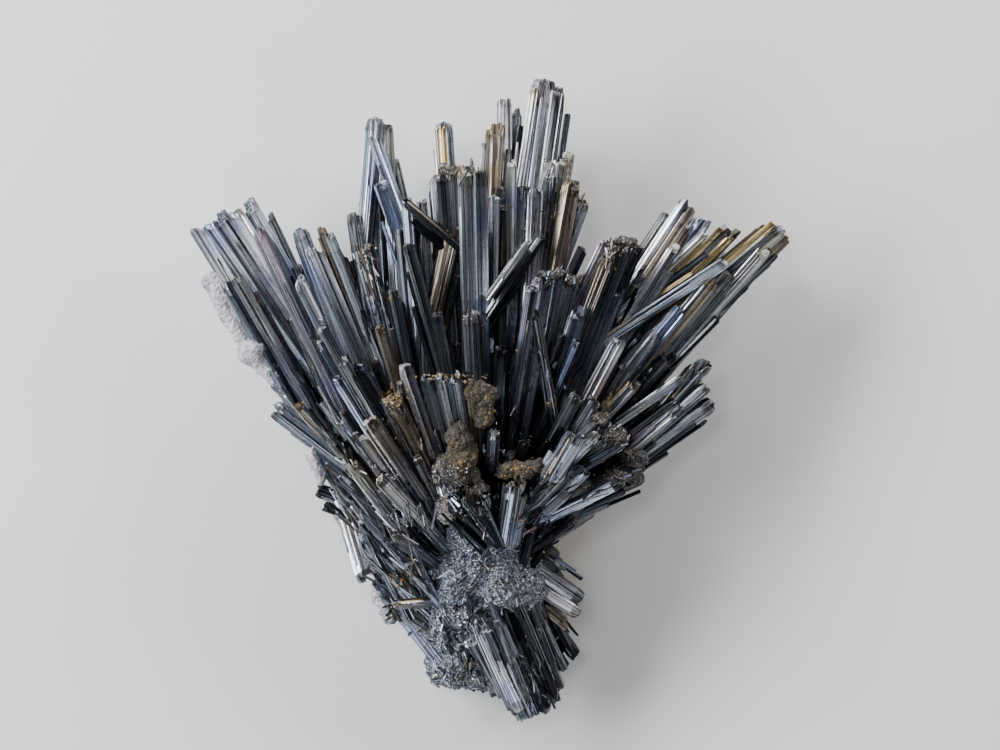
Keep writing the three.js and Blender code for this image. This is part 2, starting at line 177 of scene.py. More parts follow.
CENTRE = [
    (88.6, 25, 24, 93, 90, 3.8, 3.2, "steel", 20, 10),
    (87.2, 25.4, 25, 91.8, 90, 1.4, 1.4, "silver"),
    (88.5, 25.2, 26, 93, 90, 1.6, 1.2, "gold"),
    (88.2, 33.6, 30, 93, 100, 5, 3.4, "grey"),
    (91.4, 34.2, 26, 95, 90, 2.4, 2.2, "brown"),
    (94.5, 34.2, 41.5, 96.1, 106, 6, 2.4, "sky"),
    (93.2, 33.8, 39, 95.4, 106, 3.2, 3, "sky", 15, 5),
    (95.8, 34.2, 40, 96.8, 106, 3.2, 3, "grey", -15, -5),
    (98.2, 26.2, 24, 95.6, 90, 2.2, 2.2, "tan", 0, -15),
    (100.4, 25, 23, 94.8, 62, 1.4, 1.4, "gold", 0, -15),
    (97, 28.6, 24, 95.2, 70, 1.6, 1.4, "silver"),
    (100.8, 19.2, 21, 101.8, 96, 3, 2.8, "silver", 20, 5),
    (103, 21.8, 17, 103, 90, 2, 2, "grey", 0, 20),
    (109.6, 17.4, 26, 100.6, 84, 7, 2.4, "steel", 0, -10),
    (107, 17.8, 26, 97, 84, 2, 2.8, "silver", 30, -5),
    (110.4, 17.2, 23, 102.6, 86, 5, 3.2, "steel", -10, 20),
    (102.4, 32.2, 32, 101.4, 100, 2.2, 2.2, "silver", 15),
    (113, 31, 29, 101, 104, 3.8, 3, "silver"),
    (116.6, 40.4, 27, 104, 76, 2.8, 2.4, "steel"),
    (114.2, 37, 34, 103, 100, 3.6, 3, "tan", 20, 10),
    (107, 38.2, 37, 104, 102, 2.5, 2.2, "silver", 10),
    (110.2, 35, 34, 103, 100, 3, 2.6, "steel", 20),
    (108.4, 47.6, 38.5, 93.8, 68.5, 2, 2, "grey"),
    (105, 38, 29, 100, 100, 4.2, 3.6, "grey"),
    (99.6, 38, 27, 98.6, 100, 3.4, 3.4, "steel"),
    (94.4, 62.6, 44, 96.6, 106, 4, 3.2, "steel"),
    (100.2, 69.8, 43, 99, 108, 2.8, 2.6, "dark"),
    (106.8, 56.6, 44, 99, 106, 3.2, 2.6, "lilac", 20, 10),
    (109.8, 54.8, 42, 101, 106, 3.6, 2.8, "steel", -10),
    (112.4, 54.4, 39, 103, 104, 2.6, 2.4, "silver"),
    (115.2, 54.8, 36, 104, 92, 3.2, 2.8, "silver", 0, 15),
    (107, 62.6, 50, 111.4, 88, 1.8, 1.8, "dark"),
    (85.4, 75.6, 52, 94, 106, 2.4, 2.4, "grey"),
    (88.2, 74.8, 53, 95, 106, 2.6, 2.6, "silver", 15),
    (91, 75, 53, 96, 106, 2.6, 2.6, "sky", -15),
    (93.8, 76.4, 50, 97, 106, 2.8, 2.6, "tan"),
    (93.6, 33.4, 24, 95, 90, 2.6, 2.2, "tan"),
    (99.4, 24.8, 23, 96, 90, 2.4, 2, "tan"),
    (111.6, 19.6, 22, 104, 86, 2.6, 2.6, "sky", 0, 30),
    (110.2, 33, 32, 100.6, 60, 2.2, 2.2, "silver", 0, 15),
    (105.8, 48.4, 41, 97.6, 60, 1.2, 1.2, "silver"),
    (87.6, 63, 42, 95, 104, 2.4, 2.2, "grey"),
]

RIGHT_MIDDLE = [
    (121, 48.6, 38, 102.4, 86, 2.2, 2.2, "lilac", 20, 10),
    (121.4, 51.6, 39, 103, 100, 3.4, 3, "tan"),
    (124.6, 48.6, 36, 105, 102, 4.4, 3.2, "grey", 10),
    (127.4, 49.6, 32, 107, 102, 2.2, 2.2, "dark"),
    (115.6, 62, 38, 104, 100, 3.2, 2.8, "steel", 15),
    (123.8, 67.6, 39, 105, 104, 3.4, 2.8, "silver", 10, 10),
    (115, 79, 43, 101, 106, 2.6, 2.6, "grey"),
    (118.8, 79.8, 41, 103, 106, 3, 2.8, "steel"),
    (123.6, 57.6, 31, 106, 102, 3, 2.8, "steel"),
    (119, 58.4, 35, 105, 100, 3, 2.8, "silver", 15),
    (115, 68.2, 42, 106, 90, 2, 2, "blue", 10, 10),
]

RIGHT_SPRAY = [
    (137.2, 40.2, 22, 103, 92, 2.6, 2.4, "silver", 20, -15),
    (137.2, 44.8, 27, 105, 94, 2.8, 2.4, "tan", 15, -10),
    (140.4, 43.4, 24, 107.6, 94, 3.4, 2.6, "steel", 0, 10),
    (135, 49.2, 31, 105, 98, 2.5, 2.2, "silver", 20),
    (141, 46.6, 30, 106, 80, 2.2, 2, "silver", 0, 10),
    (145.6, 46.2, 26, 106, 85, 3.5, 2.6, "steel", 10),
    (144.2, 45.8, 27.4, 106, 84, 1.2, 1.2, "gold"),
    (146.4, 47.6, 27, 112, 80, 1, 1.2, "gold"),
    (147, 45.8, 22, 108, 88, 3, 2.4, "tan", 0, 10),
    (156.4, 45.2, 20, 107, 87, 3.8, 2.8, "steel", 10, 10),
    (155, 44.8, 21.6, 107, 85, 1.3, 1.2, "gold"),
    (157, 46.6, 21.4, 112, 84, 1, 1, "silver"),
    (153.4, 45, 20.4, 107, 84, 1.4, 1.2, "brown"),
    (157.6, 47.4, 18, 108, 92, 2.5, 2.4, "tan", -10, 15),
    (153, 50.2, 24, 110, 98, 2.8, 2.4, "silver", 15, 10),
    (155.2, 50.6, 18, 110, 93, 2.3, 2.2, "grey", 0, 20),
    (145, 52.4, 33, 106, 78, 2.4, 2.2, "sky", 20, 10),
    (146, 55.2, 29, 110, 98, 3.2, 2.8, "steel"),
    (142.6, 55.8, 31, 108, 98, 3.5, 2.8, "tan", 10),
    (136, 62, 32, 107, 98, 3, 2.6, "blue"),
    (131, 66.8, 34, 106, 99, 3, 2.6, "grey"),
    (134, 70.8, 31, 107, 101, 3, 2.6, "dark"),
    (141.2, 72.6, 26, 114, 102, 3.4, 2.8, "grey", 0, 10),
    (141.6, 77, 25, 112, 103, 2.8, 2.4, "steel", 10),
    (142.2, 80.8, 23, 110, 104, 3.5, 2.6, "steel"),
    (140.8, 83.6, 20, 110, 105, 2.6, 2.4, "dark", 0, 10),
    (136.2, 75.8, 32, 106, 97, 2, 1.8, "silver"),
    (127, 76.6, 37, 105, 100, 2.4, 2.2, "grey"),
    (135.6, 80.2, 28, 108, 101, 3, 2.6, "grey"),
    (138.6, 41.6, 19, 105, 92, 2, 2, "tan", 0, 10),
    (141.2, 44.2, 24, 108, 94, 2.5, 2.3, "steel", 0, 15),
    (138.6, 73.4, 27, 116, 102, 2, 2, "tan"),
    (135, 83, 30, 108, 106, 2, 2, "silver"),
]

LOWER_RIGHT = [
    (124.6, 87.2, 37, 99, 103, 4.6, 4, "dark"),
    (128.4, 92, 29, 100, 107, 4.6, 4, "dark"),
    (128.2, 95.4, 25, 100, 108, 3, 2.8, "dark", 0, 10),
    (124.2, 95.6, 32, 100, 108, 4, 3.6, "grey"),
    (114.4, 86.8, 45, 99, 108, 3, 2.4, "dark", 15),
    (115.2, 86.4, 48.6, 109.8, 95.6, 4.4, 2.2, "sky", 15, 0, 44),
    (90.2, 99.4, 44.6, 99.6, 108.6, 3, 1.6, "dark", 30, 0, 38),
    (92.8, 98.8, 45.2, 99.8, 108.8, 2.8, 1.6, "grey", 10, 10, 38),
    (95.8, 99.6, 44.8, 100, 109, 2.6, 1.6, "dark", -20, 0, 38),
    (102.6, 96.4, 44.6, 100.6, 108.8, 3.8, 1.6, "grey", 0, 0, 38),
    (104.4, 98.2, 42, 101.6, 109, 2.2, 1.4, "steel", 0, 0, 37),
    (117, 93.6, 37, 99, 110, 3.4, 3, "steel"),
    (113.4, 93, 39, 99, 109, 3.4, 3, "grey"),
    (113.6, 97.6, 34, 98, 112, 3.6, 3.4, "grey"),
    (103.4, 95.8, 45, 99.6, 110, 3.6, 2.2, "grey", 0, 10),
    (98.8, 86.2, 43, 97.6, 108, 2.6, 2.4, "silver"),
    (91.6, 99.4, 43, 97, 114, 4.8, 4, "dark", 10),
    (96.4, 98.6, 41, 97.6, 112, 3.4, 3.2, "steel"),
    (103, 100, 38, 98, 112, 4, 3.4, "dark"),
    (121, 84.6, 36, 101, 102, 3.2, 3, "grey"),
    (119, 86.8, 41, 101, 106, 2.2, 2, "silver"),
    (119.2, 83.8, 40, 101, 102, 2.8, 2.6, "dark"),
    (119.6, 99.6, 23, 101, 111.4, 1.8, 1.8, "dark"),
    (118, 98.6, 27, 100, 111, 2.8, 2.4, "grey", 20, 10),
    (121.4, 98, 23, 100, 110, 2.8, 2.8, "grey"),
    (114.6, 104.6, 21, 100, 112, 2.4, 2.4, "brown"),
    (105.4, 88, 40, 99, 108, 3, 3, "dark"),
]

ROOT_CRYSTALS = [
    (107, 143.6, 12, 97.4, 116, 6.4, 8, "steel", 0, 10),
    (110.4, 142.4, 13, 100, 116, 5.4, 5.4, "grey", 0, 10),
    (111.8, 138.4, 10, 101, 116, 3, 4, "dark", 0, 20),
    (98.6, 138.2, 13, 94, 120, 6.4, 8, "steel"),
    (92.4, 137.2, 12, 93, 120, 6.4, 8, "grey"),
    (88.4, 135.6, 13, 92, 118, 3.6, 5, "grey", 0, -20),
    (116.6, 120.9, 22, 100, 109, 4.6, 3.2, "steel", 20),
    (115.6, 122.8, 23, 100, 113, 2.6, 2.4, "silver"),
    (115.2, 131.6, 11, 101, 112, 2.8, 2.6, "dark", 0, 10),
    (113.6, 125.2, 19, 100, 114, 2.6, 2.4, "tan"),
    (110.6, 127.6, 14, 100, 116, 4, 4, "grey"),
    (111.8, 112.4, 21, 100, 106, 4.6, 3.6, "dark"),
    (104.6, 139.6, 10, 97, 120, 4.6, 5, "grey"),
    (113.4, 134.4, 9, 100, 114, 2.4, 2.6, "dark", 0, 10),
    (112.4, 115.4, 21, 101, 104, 3.4, 3.4, "grey"),
]

BACK = [
    (43.6, 50, 10, 94, 112, 4.2, 3.6, "grey"),
    (49.6, 46, 12, 94, 110, 4.2, 3.6, "steel"),
    (58, 53, 1.2, 95, 110, 4.4, 3.6, "grey"),
    (56.4, 67.4, 15, 90, 110, 4.6, 3.8, "steel"),
    (66, 50.4, 10, 95, 110, 4, 3.4, "grey"),
    (73.6, 36, 9, 95, 108, 3.4, 3, "steel"),
    (78, 32, 11, 96, 108, 3.4, 3, "grey"),
    (88.6, 29, 13, 97, 108, 3.6, 3.2, "grey"),
    (95.6, 41, 1.2, 97, 108, 4.4, 3.6, "dark"),
    (101.2, 23.6, 11, 98, 108, 3.4, 3, "grey"),
    (108, 23, 12, 99, 108, 4.6, 3.2, "steel"),
    (112.6, 40, 7, 100, 108, 4.2, 3.4, "grey"),
    (121, 54, 1.2, 101, 108, 4.4, 3.6, "grey"),
    (127, 57, 12, 102, 108, 3.8, 3.2, "steel"),
    (136.6, 46.6, 9, 103, 106, 3.6, 3.2, "grey"),
    (145, 50, 11, 103, 107, 4, 3.4, "steel"),
    (153.6, 50.6, 8, 104, 107, 3.6, 3.2, "grey"),
    (139, 76.4, 11, 103, 108, 4.2, 3.6, "steel"),
    (127, 93.4, 10, 102, 110, 4.4, 3.8, "grey"),
    (118.2, 101, 10, 101, 112, 3.8, 3.4, "grey"),
    (66.8, 99.2, 8, 94, 114, 3.8, 3.4, "grey"),
    (74, 112, 12, 94, 118, 3.8, 3.4, "steel"),
    (56.6, 82.6, 11, 94, 112, 4, 3.6, "grey"),
    (80.4, 122.4, 10, 94, 124, 4.2, 3.8, "steel"),
    # The broad dark rows that follow lie deep in the middle; their dark tone is painted shade in the gaps
    # between the crystals in front.
    (64, 74, 18, 96, 114, 13, 11, "dark"),
    (84, 62, 22, 97, 112, 10, 12, "dark"),
    (98, 56, 24, 98, 112, 11, 14, "dark"),
    (124, 78, 22, 99, 112, 13, 12, "dark"),
    (116, 98, 24, 98, 112, 9, 10, "dark"),
    (76, 102, 22, 98, 114, 11, 12, "dark"),
    (90, 88, 36, 97, 112, 12, 12, "dark"),
    (104, 88, 29, 98, 112, 13, 10, "dark"),
]

# Each spray: its crystals, the tones that its small blades may take, and its seed.
SPRAYS = {
    "left_spray": (LEFT_SPRAY, ("steel", "lilac", "blue", "grey", "silver", "sky"), 11),
    "upper_left_group": (UPPER_LEFT, ("grey", "brown", "steel", "tan", "dark"), 12),
    "centre_group": (CENTRE, ("steel", "grey", "silver", "tan", "dark"), 13),
    "right_middle_group": (RIGHT_MIDDLE, ("steel", "grey", "lilac", "dark"), 14),
    "right_spray": (RIGHT_SPRAY, ("steel", "tan", "sky", "lilac", "gold", "grey"), 15),
    "lower_right_group": (LOWER_RIGHT, ("grey", "dark", "steel", "tan", "silver"), 16),
    "back_crystals": (BACK, ("grey", "steel", "dark"), 17),
}
ROOT_PALETTE = ("grey", "steel", "sky", "dark", "blue")
GRAIN_TONES = ("grey", "dark", "steel", "dark", "sky")

# The flat plates low on the front of the root.
ROOT_PLATES = [
    (99.8, 137.6, 19, 95, 128.6, 3.4, 1.8, "steel", 0, 10, 26),
    (104, 142.4, 18.4, 96.8, 126.4, 4.6, 1.6, "silver", 6, 10, 28.2),
    (105.2, 144.2, 15, 97.6, 126, 3.4, 2.2, "sky", 0, 10, 29),
    (106.6, 143.8, 16, 99.2, 124, 1.6, 1.4, "steel", 0, 0, 30.5),
    (108.2, 143, 15, 100.2, 122, 2.6, 2.2, "dark", 10, 0, 30.5),
    (109.6, 142.2, 14.5, 101.6, 123, 1.4, 1.4, "dark", 0, 0, 29),
    (111.2, 140.6, 14, 102.4, 120, 2.4, 2, "dark", 0, 0, 30),
    (112.2, 138.4, 12, 104.4, 118, 2.2, 2, "grey", 15, 0, 28),
    (113, 134.6, 13, 105, 117, 1.8, 1.8, "grey", 0, 0, 27),
    (114.6, 131.6, 11, 106.4, 116, 2, 1.8, "dark", 0, 0, 24),
    (107.4, 139.6, 17.6, 99.6, 121, 1.2, 1.2, "steel", 0, 0, 31),
    (104, 138.6, 18.6, 97.6, 123.6, 1.2, 1.2, "grey", 0, 0, 30.4),
    (110.4, 136.6, 16.4, 103, 118.6, 1.2, 1.2, "steel", 0, 0, 30.6),
    (101.6, 133.6, 23.4, 96.8, 122.6, 1.4, 1.2, "grey", 0, 0, 30.4),
    (96.6, 137, 18, 93.4, 127, 2.4, 2, "grey", 0, 0, 25),
    (103, 132, 27, 98.4, 120, 2.2, 1.8, "steel", 0, 0, 31),
    (106, 129, 26, 101, 117, 2, 1.8, "dark", 0, 0, 30),
    (108.6, 126, 24, 103.6, 114, 2, 1.8, "grey", 0, 0, 27),
]

# Lumps of massive mineral: the middle, and the half sizes along x, y and z.
ROOT_LUMPS = [
    (92.8, 115.4, 16.4, 8.8, 9.8, 16.2),
    (100.2, 117, 16.4, 10, 9.6, 16),
    (96, 122.6, 14.6, 11.4, 8.6, 15),
    (94, 93, 19, 21, 19, 13.4),
    (95.8, 107, 21, 9.4, 8, 13),
    (89.8, 124.6, 15, 6.4, 9, 11.6),
    (91.4, 131, 12.6, 6, 6.8, 11.4),
    (95.4, 133.4, 12, 5.4, 5, 10.8),
]
MATRIX_LUMPS = [
    (88.8, 94.2, 38.6, 2.4, 3.4, 4),
    (90.8, 97.4, 38, 3.4, 3.2, 4.4),
    (94.4, 98.4, 37.2, 3.4, 3.2, 4.4),
    (90.8, 101.6, 35.6, 3.6, 3.4, 4.8),
    (95.6, 102.6, 34, 3.8, 3.2, 4.8),
    (101.8, 104.4, 33.6, 2.4, 2.4, 3.6),
]
KNOBS = [
    (122.6, 87.2, 37, 2.8, 2.1, 2.4),
    (119.8, 83.6, 39.6, 1.9, 1.5, 2),
    (127, 91.8, 29, 2.7, 2, 2.6),
    (123, 95.4, 31.6, 2.5, 1.5, 2.4),
    (126.8, 95.6, 25.4, 2.3, 1.3, 2.2),
    (116, 97, 29.4, 2.6, 1.7, 2.2),
    (121.4, 51.4, 38.6, 1.3, 1.6, 1.7),
    (125, 48.6, 35.8, 2.2, 1, 1.6),
    (110, 55.2, 42, 2.4, 1, 1.6),
    (114.8, 37.8, 33.6, 1, 1.6, 1.4),
    (90.4, 34.2, 30, 2.6, 1, 1.6),
    (113.4, 56.4, 38, 2.2, 1.2, 1.6),
]

# Crumbs on whatever lies below them: x, y, spread along x and y, how many, size.
OCHRE_CRUMBS = [
    (51.6, 61, 0.9, 1.4, 10, 0.9), (56.2, 70.2, 0.8, 0.4, 6, 0.8), (60.2, 75, 0.7, 0.4, 6, 0.8),
    (67.4, 78.6, 1, 0.6, 8, 0.8), (59.8, 81.2, 0.9, 0.9, 16, 1.4), (65.6, 93.2, 0.5, 1.6, 8, 0.8),
    (75.2, 96, 1.8, 1.6, 12, 0.8), (71.2, 110.4, 0.6, 1.3, 8, 0.8), (74.2, 113.2, 0.5, 0.9, 6, 0.8),
    (77.4, 114.6, 0.8, 0.9, 8, 0.9), (79.8, 117, 1.9, 2.6, 40, 1.5), (73, 49, 1.5, 0.9, 22, 1),
    (78.4, 79.8, 2.8, 1.4, 44, 1.8), (78.2, 60, 0.6, 0.8, 8, 1), (92, 35, 1.6, 1.6, 24, 1),
    (98, 25.8, 0.8, 0.8, 8, 0.8), (107.4, 25.4, 0.6, 0.6, 6, 0.7), (109, 32, 0.8, 1.2, 12, 0.8),
    (113.6, 34.6, 1.2, 2.6, 44, 1.1), (96.8, 63.2, 0.6, 0.7, 6, 0.8), (101.4, 42, 1.2, 1, 10, 0.8),
    (91.8, 70.4, 0.9, 2.4, 22, 1), (90, 75.2, 5.6, 0.6, 60, 1.2), (100, 77.4, 0.6, 1, 4, 0.8),
    (102.8, 67.4, 0.6, 1.2, 5, 0.9), (97.4, 83, 1.8, 1.8, 34, 1.1), (102, 91, 1.2, 0.8, 12, 0.9),
    (101, 95.4, 1.6, 1.4, 24, 1.1), (98, 91, 1, 1, 14, 1.1), (107.4, 93.6, 1.4, 1, 18, 1),
    (88.4, 100, 1.4, 1, 10, 0.8), (110, 98.6, 0.6, 0.6, 6, 0.8), (110.8, 80.6, 1.4, 1.6, 18, 1),
    (127.8, 80.4, 1.4, 1.4, 14, 0.8), (121.4, 81, 1.2, 2, 24, 1.2), (120.6, 91.8, 0.7, 0.8, 8, 0.8),
    (114.8, 104.8, 1, 0.7, 8, 0.8), (103.4, 103.8, 1.5, 1.7, 28, 1), (90.6, 123, 0.8, 0.8, 8, 0.8),
    (114.2, 85.4, 0.8, 0.8, 8, 0.9), (142, 48.6, 0.8, 1.2, 12, 0.9), (122, 52, 1.6, 1.8, 20, 0.9),
    (92.6, 92, 3.4, 4.4, 60, 1.1), (96, 80.6, 2, 3.2, 30, 1.1), (104.6, 93.4, 3.6, 1, 30, 1.1),
]
CRUST_CRUMBS = [
    (55.2, 79.6, 1, 0.9, 18, 1), (62.6, 91.4, 1.2, 1.6, 16, 0.9), (63.6, 94.4, 0.5, 0.8, 8, 0.8),
    (66.2, 97.2, 0.8, 0.8, 10, 0.8), (67.8, 106.4, 1.2, 2.2, 26, 0.9), (78.8, 102.8, 0.7, 0.9, 8, 1.1),
    (78.8, 95, 1.6, 2.2, 22, 1), (55.2, 74.4, 0.7, 1.6, 10, 0.8), (76, 119.6, 1.2, 2.2, 16, 0.9),
    (43.6, 58.4, 2, 3, 24, 0.7), (47, 64.6, 1.6, 3, 20, 0.7), (73.6, 71.4, 1.6, 1.6, 10, 0.8),
]
RUBBLE = [
    (90.6, 97.6, 4.4, 4, 90, 1.2), (94, 102.4, 4.6, 3, 60, 1.2), (96.8, 114, 8.6, 4.6, 130, 0.9),
    (94.4, 122, 7, 5, 120, 0.9), (92.4, 134.6, 5.4, 2.4, 90, 1), (122.6, 87.4, 3.2, 2.6, 40, 1.1),
    (124.6, 94.4, 4.2, 2.6, 50, 1.1), (111.4, 56, 4, 2, 50, 1.1), (121.8, 50.6, 2.6, 2.4, 30, 1),
    (116.2, 40.2, 1.8, 1.8, 30, 1), (92.8, 34.4, 3, 1.4, 34, 1), (94.8, 62.4, 2.4, 1.6, 24, 1),
    (139.8, 75.6, 2.4, 2, 18, 0.9), (143.4, 46.4, 1.8, 1.6, 18, 0.9), (73.6, 52, 2.2, 3.4, 70, 1.5),
    (75.2, 60, 2, 5, 60, 1.4),
    (55.8, 78.8, 1.6, 1.6, 14, 1), (79.4, 83, 2.6, 1.6, 26, 1), (107.6, 104.6, 3.4, 3.4, 50, 1.2),
    (117.2, 97.4, 3, 2.4, 36, 1.1), (79, 122.6, 2.6, 3.4, 40, 1), (85.4, 127.6, 3.6, 4.6, 40, 1),
    (110.6, 96, 3.4, 3, 40, 1.1), (115.4, 77.6, 2.6, 2.2, 26, 1), (74.6, 73.4, 1.4, 1.4, 12, 0.9),
    (101, 84, 5, 5, 60, 1), (109, 72, 6, 8, 60, 0.9), (84, 92, 8, 8, 70, 0.9),
    (106, 136, 4, 6, 90, 0.9), (109, 44, 3, 6, 50, 0.9), (130, 74, 6, 5, 50, 0.9),
    (91.4, 94.8, 2.6, 1.8, 110, 0.9), (88.6, 95.6, 1.6, 2.6, 60, 1),
]
# Thin crystals that lie across the others on the lower left, given as the crumbs are.
NEEDLES = [
    (66, 85, 3.4, 4, 20, 1.4), (70, 92, 3, 4, 18, 1.3), (71, 101, 3, 5, 30, 1.5),
    (77, 106, 4, 5, 34, 1.5), (82, 112, 4, 5, 30, 1.5), (80, 118, 3, 3, 16, 1.4),
    (61, 77, 3, 4, 12, 1.2), (84, 104, 4, 4, 24, 1.4),
]
CRUSTS = {
    "pale_crust_upper": [
        (42.2, 56.2, 26.4, 1.8, 2.2, 2.2),
        (43.6, 58.8, 26.2, 1.9, 2.6, 2.4),
        (45, 61.6, 26, 1.7, 2.8, 2.4),
        (46.6, 64.4, 25.8, 1.5, 2.6, 2.4),
        (48.2, 67, 25.4, 1.2, 2.2, 2),
    ],
    "pale_crust_nodule": [
        (50.4, 70.4, 26.2, 2.8, 2.8, 3),
        (51.8, 72, 25.8, 1.9, 2.1, 2.4),
        (53.4, 74, 25.2, 1.4, 2, 2.2),
        (54.9, 75.8, 24.8, 1, 1.5, 1.8),
    ],
    "pale_crust_lower": [
        (62.5, 90.8, 23.8, 1.4, 2.1, 2.2),
        (63.3, 93.4, 23.6, 1.2, 2.2, 2.2),
        (64.1, 95.6, 23.4, 0.9, 1.6, 1.8),
    ],
    "pale_crust_foot": [
        (75.3, 118.6, 22, 1.3, 2.2, 2.2),
        (76.6, 121.2, 21, 1.5, 2.2, 2.4),
        (77.9, 123.4, 20, 1.4, 1.8, 2.2),
    ],
}
CLOTS = {
    "ochre_clot_upper": [
        (95, 78.2, 48.6, 2.9, 2, 3),
        (97.2, 79.4, 47.6, 1.9, 2.6, 2.6),
        (96.8, 82.4, 46.2, 2, 2.8, 2.8),
    ],
    "ochre_clot_middle": [
        (92, 87.4, 45.6, 2.4, 3.6, 3),
        (92.6, 91, 44.6, 3, 3.8, 3),
        (91, 93.6, 43.6, 3.2, 3, 3),
        (93.2, 95, 43, 2.8, 2.4, 2.8),
    ],
    "ochre_strip": [
        (101.6, 94, 41.2, 2.2, 1.6, 2.4),
        (104.2, 94, 41, 2.6, 1.7, 2.6),
        (107.2, 92.9, 40.8, 2.6, 1.3, 2.4),
    ],
}

# The loose splinter, and how far across and out each of its blades lies, its share of the length,
# its width and its tone.
LODGED_SPLINTER = Crystal(78.6, 120.8, 31, 88.6, 120.2, 1.9, 1.7, "sky")
SPLINTER_BLADES = (
    (0, 0, 1, 1.7, "silver"),
    (0.7, -0.4, 0.86, 0.7, "gold"),
    (-0.6, 0.1, 0.93, 0.9, "sky"),
    (-0.1, -0.7, 0.7, 0.5, "silver"),
)


def on_sheet(x, y, height):
    return Vector((x - SHEET_CENTRE[0], SHEET_CENTRE[1] - y, height))


def deselect():
    if bpy.context.mode != "OBJECT":
        bpy.ops.object.mode_set(mode="OBJECT")
    bpy.ops.object.select_all(action="DESELECT")


def edit_mesh(thing, kinds=("VERT",)):
    """Edit mode with nothing selected; returns the edited mesh."""
    deselect()
    thing.select_set(True)
    bpy.context.view_layer.objects.active = thing
    bpy.ops.object.mode_set(mode="EDIT")
    bpy.context.tool_settings.mesh_select_mode = [k in kinds for k in ("VERT", "EDGE", "FACE")]
    bpy.ops.mesh.select_all(action="DESELECT")
    return bmesh.from_edit_mesh(thing.data)


def edit_all(thing, kinds=("VERT",)):
    """Edit mode with everything selected."""
    edit_mesh(thing, kinds)
    bpy.ops.mesh.select_all(action="SELECT")


def choose(edited, items):
    """Selects these points or faces and nothing else."""
    for face in edited.faces:
        face.select_set(False)
    for item in items:
        item.select_set(True)
    edited.select_flush_mode()
    bmesh.update_edit_mesh(bpy.context.object.data)


def resize(factors, about=(0, 0, 0)):
    """Scales what is selected about a point."""
    bpy.ops.transform.resize(value=factors, center_override=about)


# ---- Blade blanks

# A blank is narrower at its foot, and its facets are painted lighter or darker than each
# other, a painted reflection as if each caught a different part of the lamps.
FOOT_SHARE = 0.8
FACET_PAINTED_LIGHT = (0.5, 0.72, 0.9, 1.0)
NEEDLE_PAINTED_LIGHT = (0.65, 1.0, 0.85, 1.0, 0.75, 0.95)

# The steps of a broken end, in breadths: how far each rises, how much its top shrinks, the width
# and height of its worn edge, and how far one side of its top is lifted or lowered.
STEP_RISE = (0.05, 0.6)
STEP_SHRINK = (0.66, 0.92)
STEP_EDGE = (0.04, 0.1)
STEP_CROWN = (0.05, 0.15)
STEP_LIFT = (-0.25, 0.1)

# Grooved blanks: faces, turn in degrees, strips on a face, depth of the grooves, cuts across the
# end, seed. Needles: sides, depth of the chisel end. Crumbs: seed.
GROOVED_BLANKS = {
    "body_a": (6, 0, 4, 0.018, 2, 1),
    "body_b": (6, 30, 4, 0.03, 3, 2),
    "body_c": (5, 10, 3, 0.015, 2, 3),
    "body_d": (6, 15, 4, 0.04, 2, 4),
    "body_e": (7, 0, 3, 0.03, 2, 5),
    "body_f": (6, 30, 4, 0.012, 1, 6),
    "ridged_a": (6, 0, 1, 0.08, 1, 7),
    "ridged_b": (7, 0, 1, 0.10, 1, 8),
    "ridged_c": (5, 20, 1, 0.08, 0, 9),
    "ridged_d": (8, 0, 1, 0.12, 1, 10),
}
NEEDLE_BLANKS = {"needle_a": (6, 0.04), "needle_b": (4, 0.02), "needle_c": (5, 0.07)}
CHUNK_SEEDS = {"chunk_a": 41, "chunk_b": 42, "chunk_c": 43}

Blanks = namedtuple("Blanks", "bodies ridged needles chunks")


def scale_point(blank, index, factors):
    """Moves one point of a blank towards or away from its middle."""
    edited = edit_mesh(blank)
    edited.verts.ensure_lookup_table()
    choose(edited, [edited.verts[index]])
    resize(factors)


def top_faces(edited, height=None):
    """The upward faces, or only those at a height."""
    tops = [f for f in edited.faces if f.normal.z > 0.9]
    if height is None:
        return tops
    return [f for f in tops if abs(f.calc_center_median().z - height) < 0.001]


def grooved_prism(name, faces, turn, strips, groove, rng):
    """A prism one unit across and long, each face in fine strips."""
    deselect()
    bpy.ops.mesh.primitive_circle_add(
        vertices=faces, radius=0.5 * FOOT_SHARE, fill_type="NOTHING", rotation=(0, 0, math.radians(turn)))
    prism = bpy.context.object
    prism.name = name
    bpy.ops.object.transform_apply(rotation=True)
    edit_all(prism, ("EDGE",))
    if strips > 1:
        bpy.ops.mesh.subdivide(number_cuts=strips - 1)
    bpy.ops.mesh.edge_face_add()
    for index in range(faces * strips):
        reach = 1.0 + rng.uniform(-groove, groove)
        scale_point(prism, index, (reach, reach, 1))
    edit_all(prism, ("FACE",))
    bpy.ops.mesh.extrude_region_move(TRANSFORM_OT_translate={"value": (0, 0, 1)})
    resize((1 / FOOT_SHARE, 1 / FOOT_SHARE, 1), (0, 0, 1))
    return prism


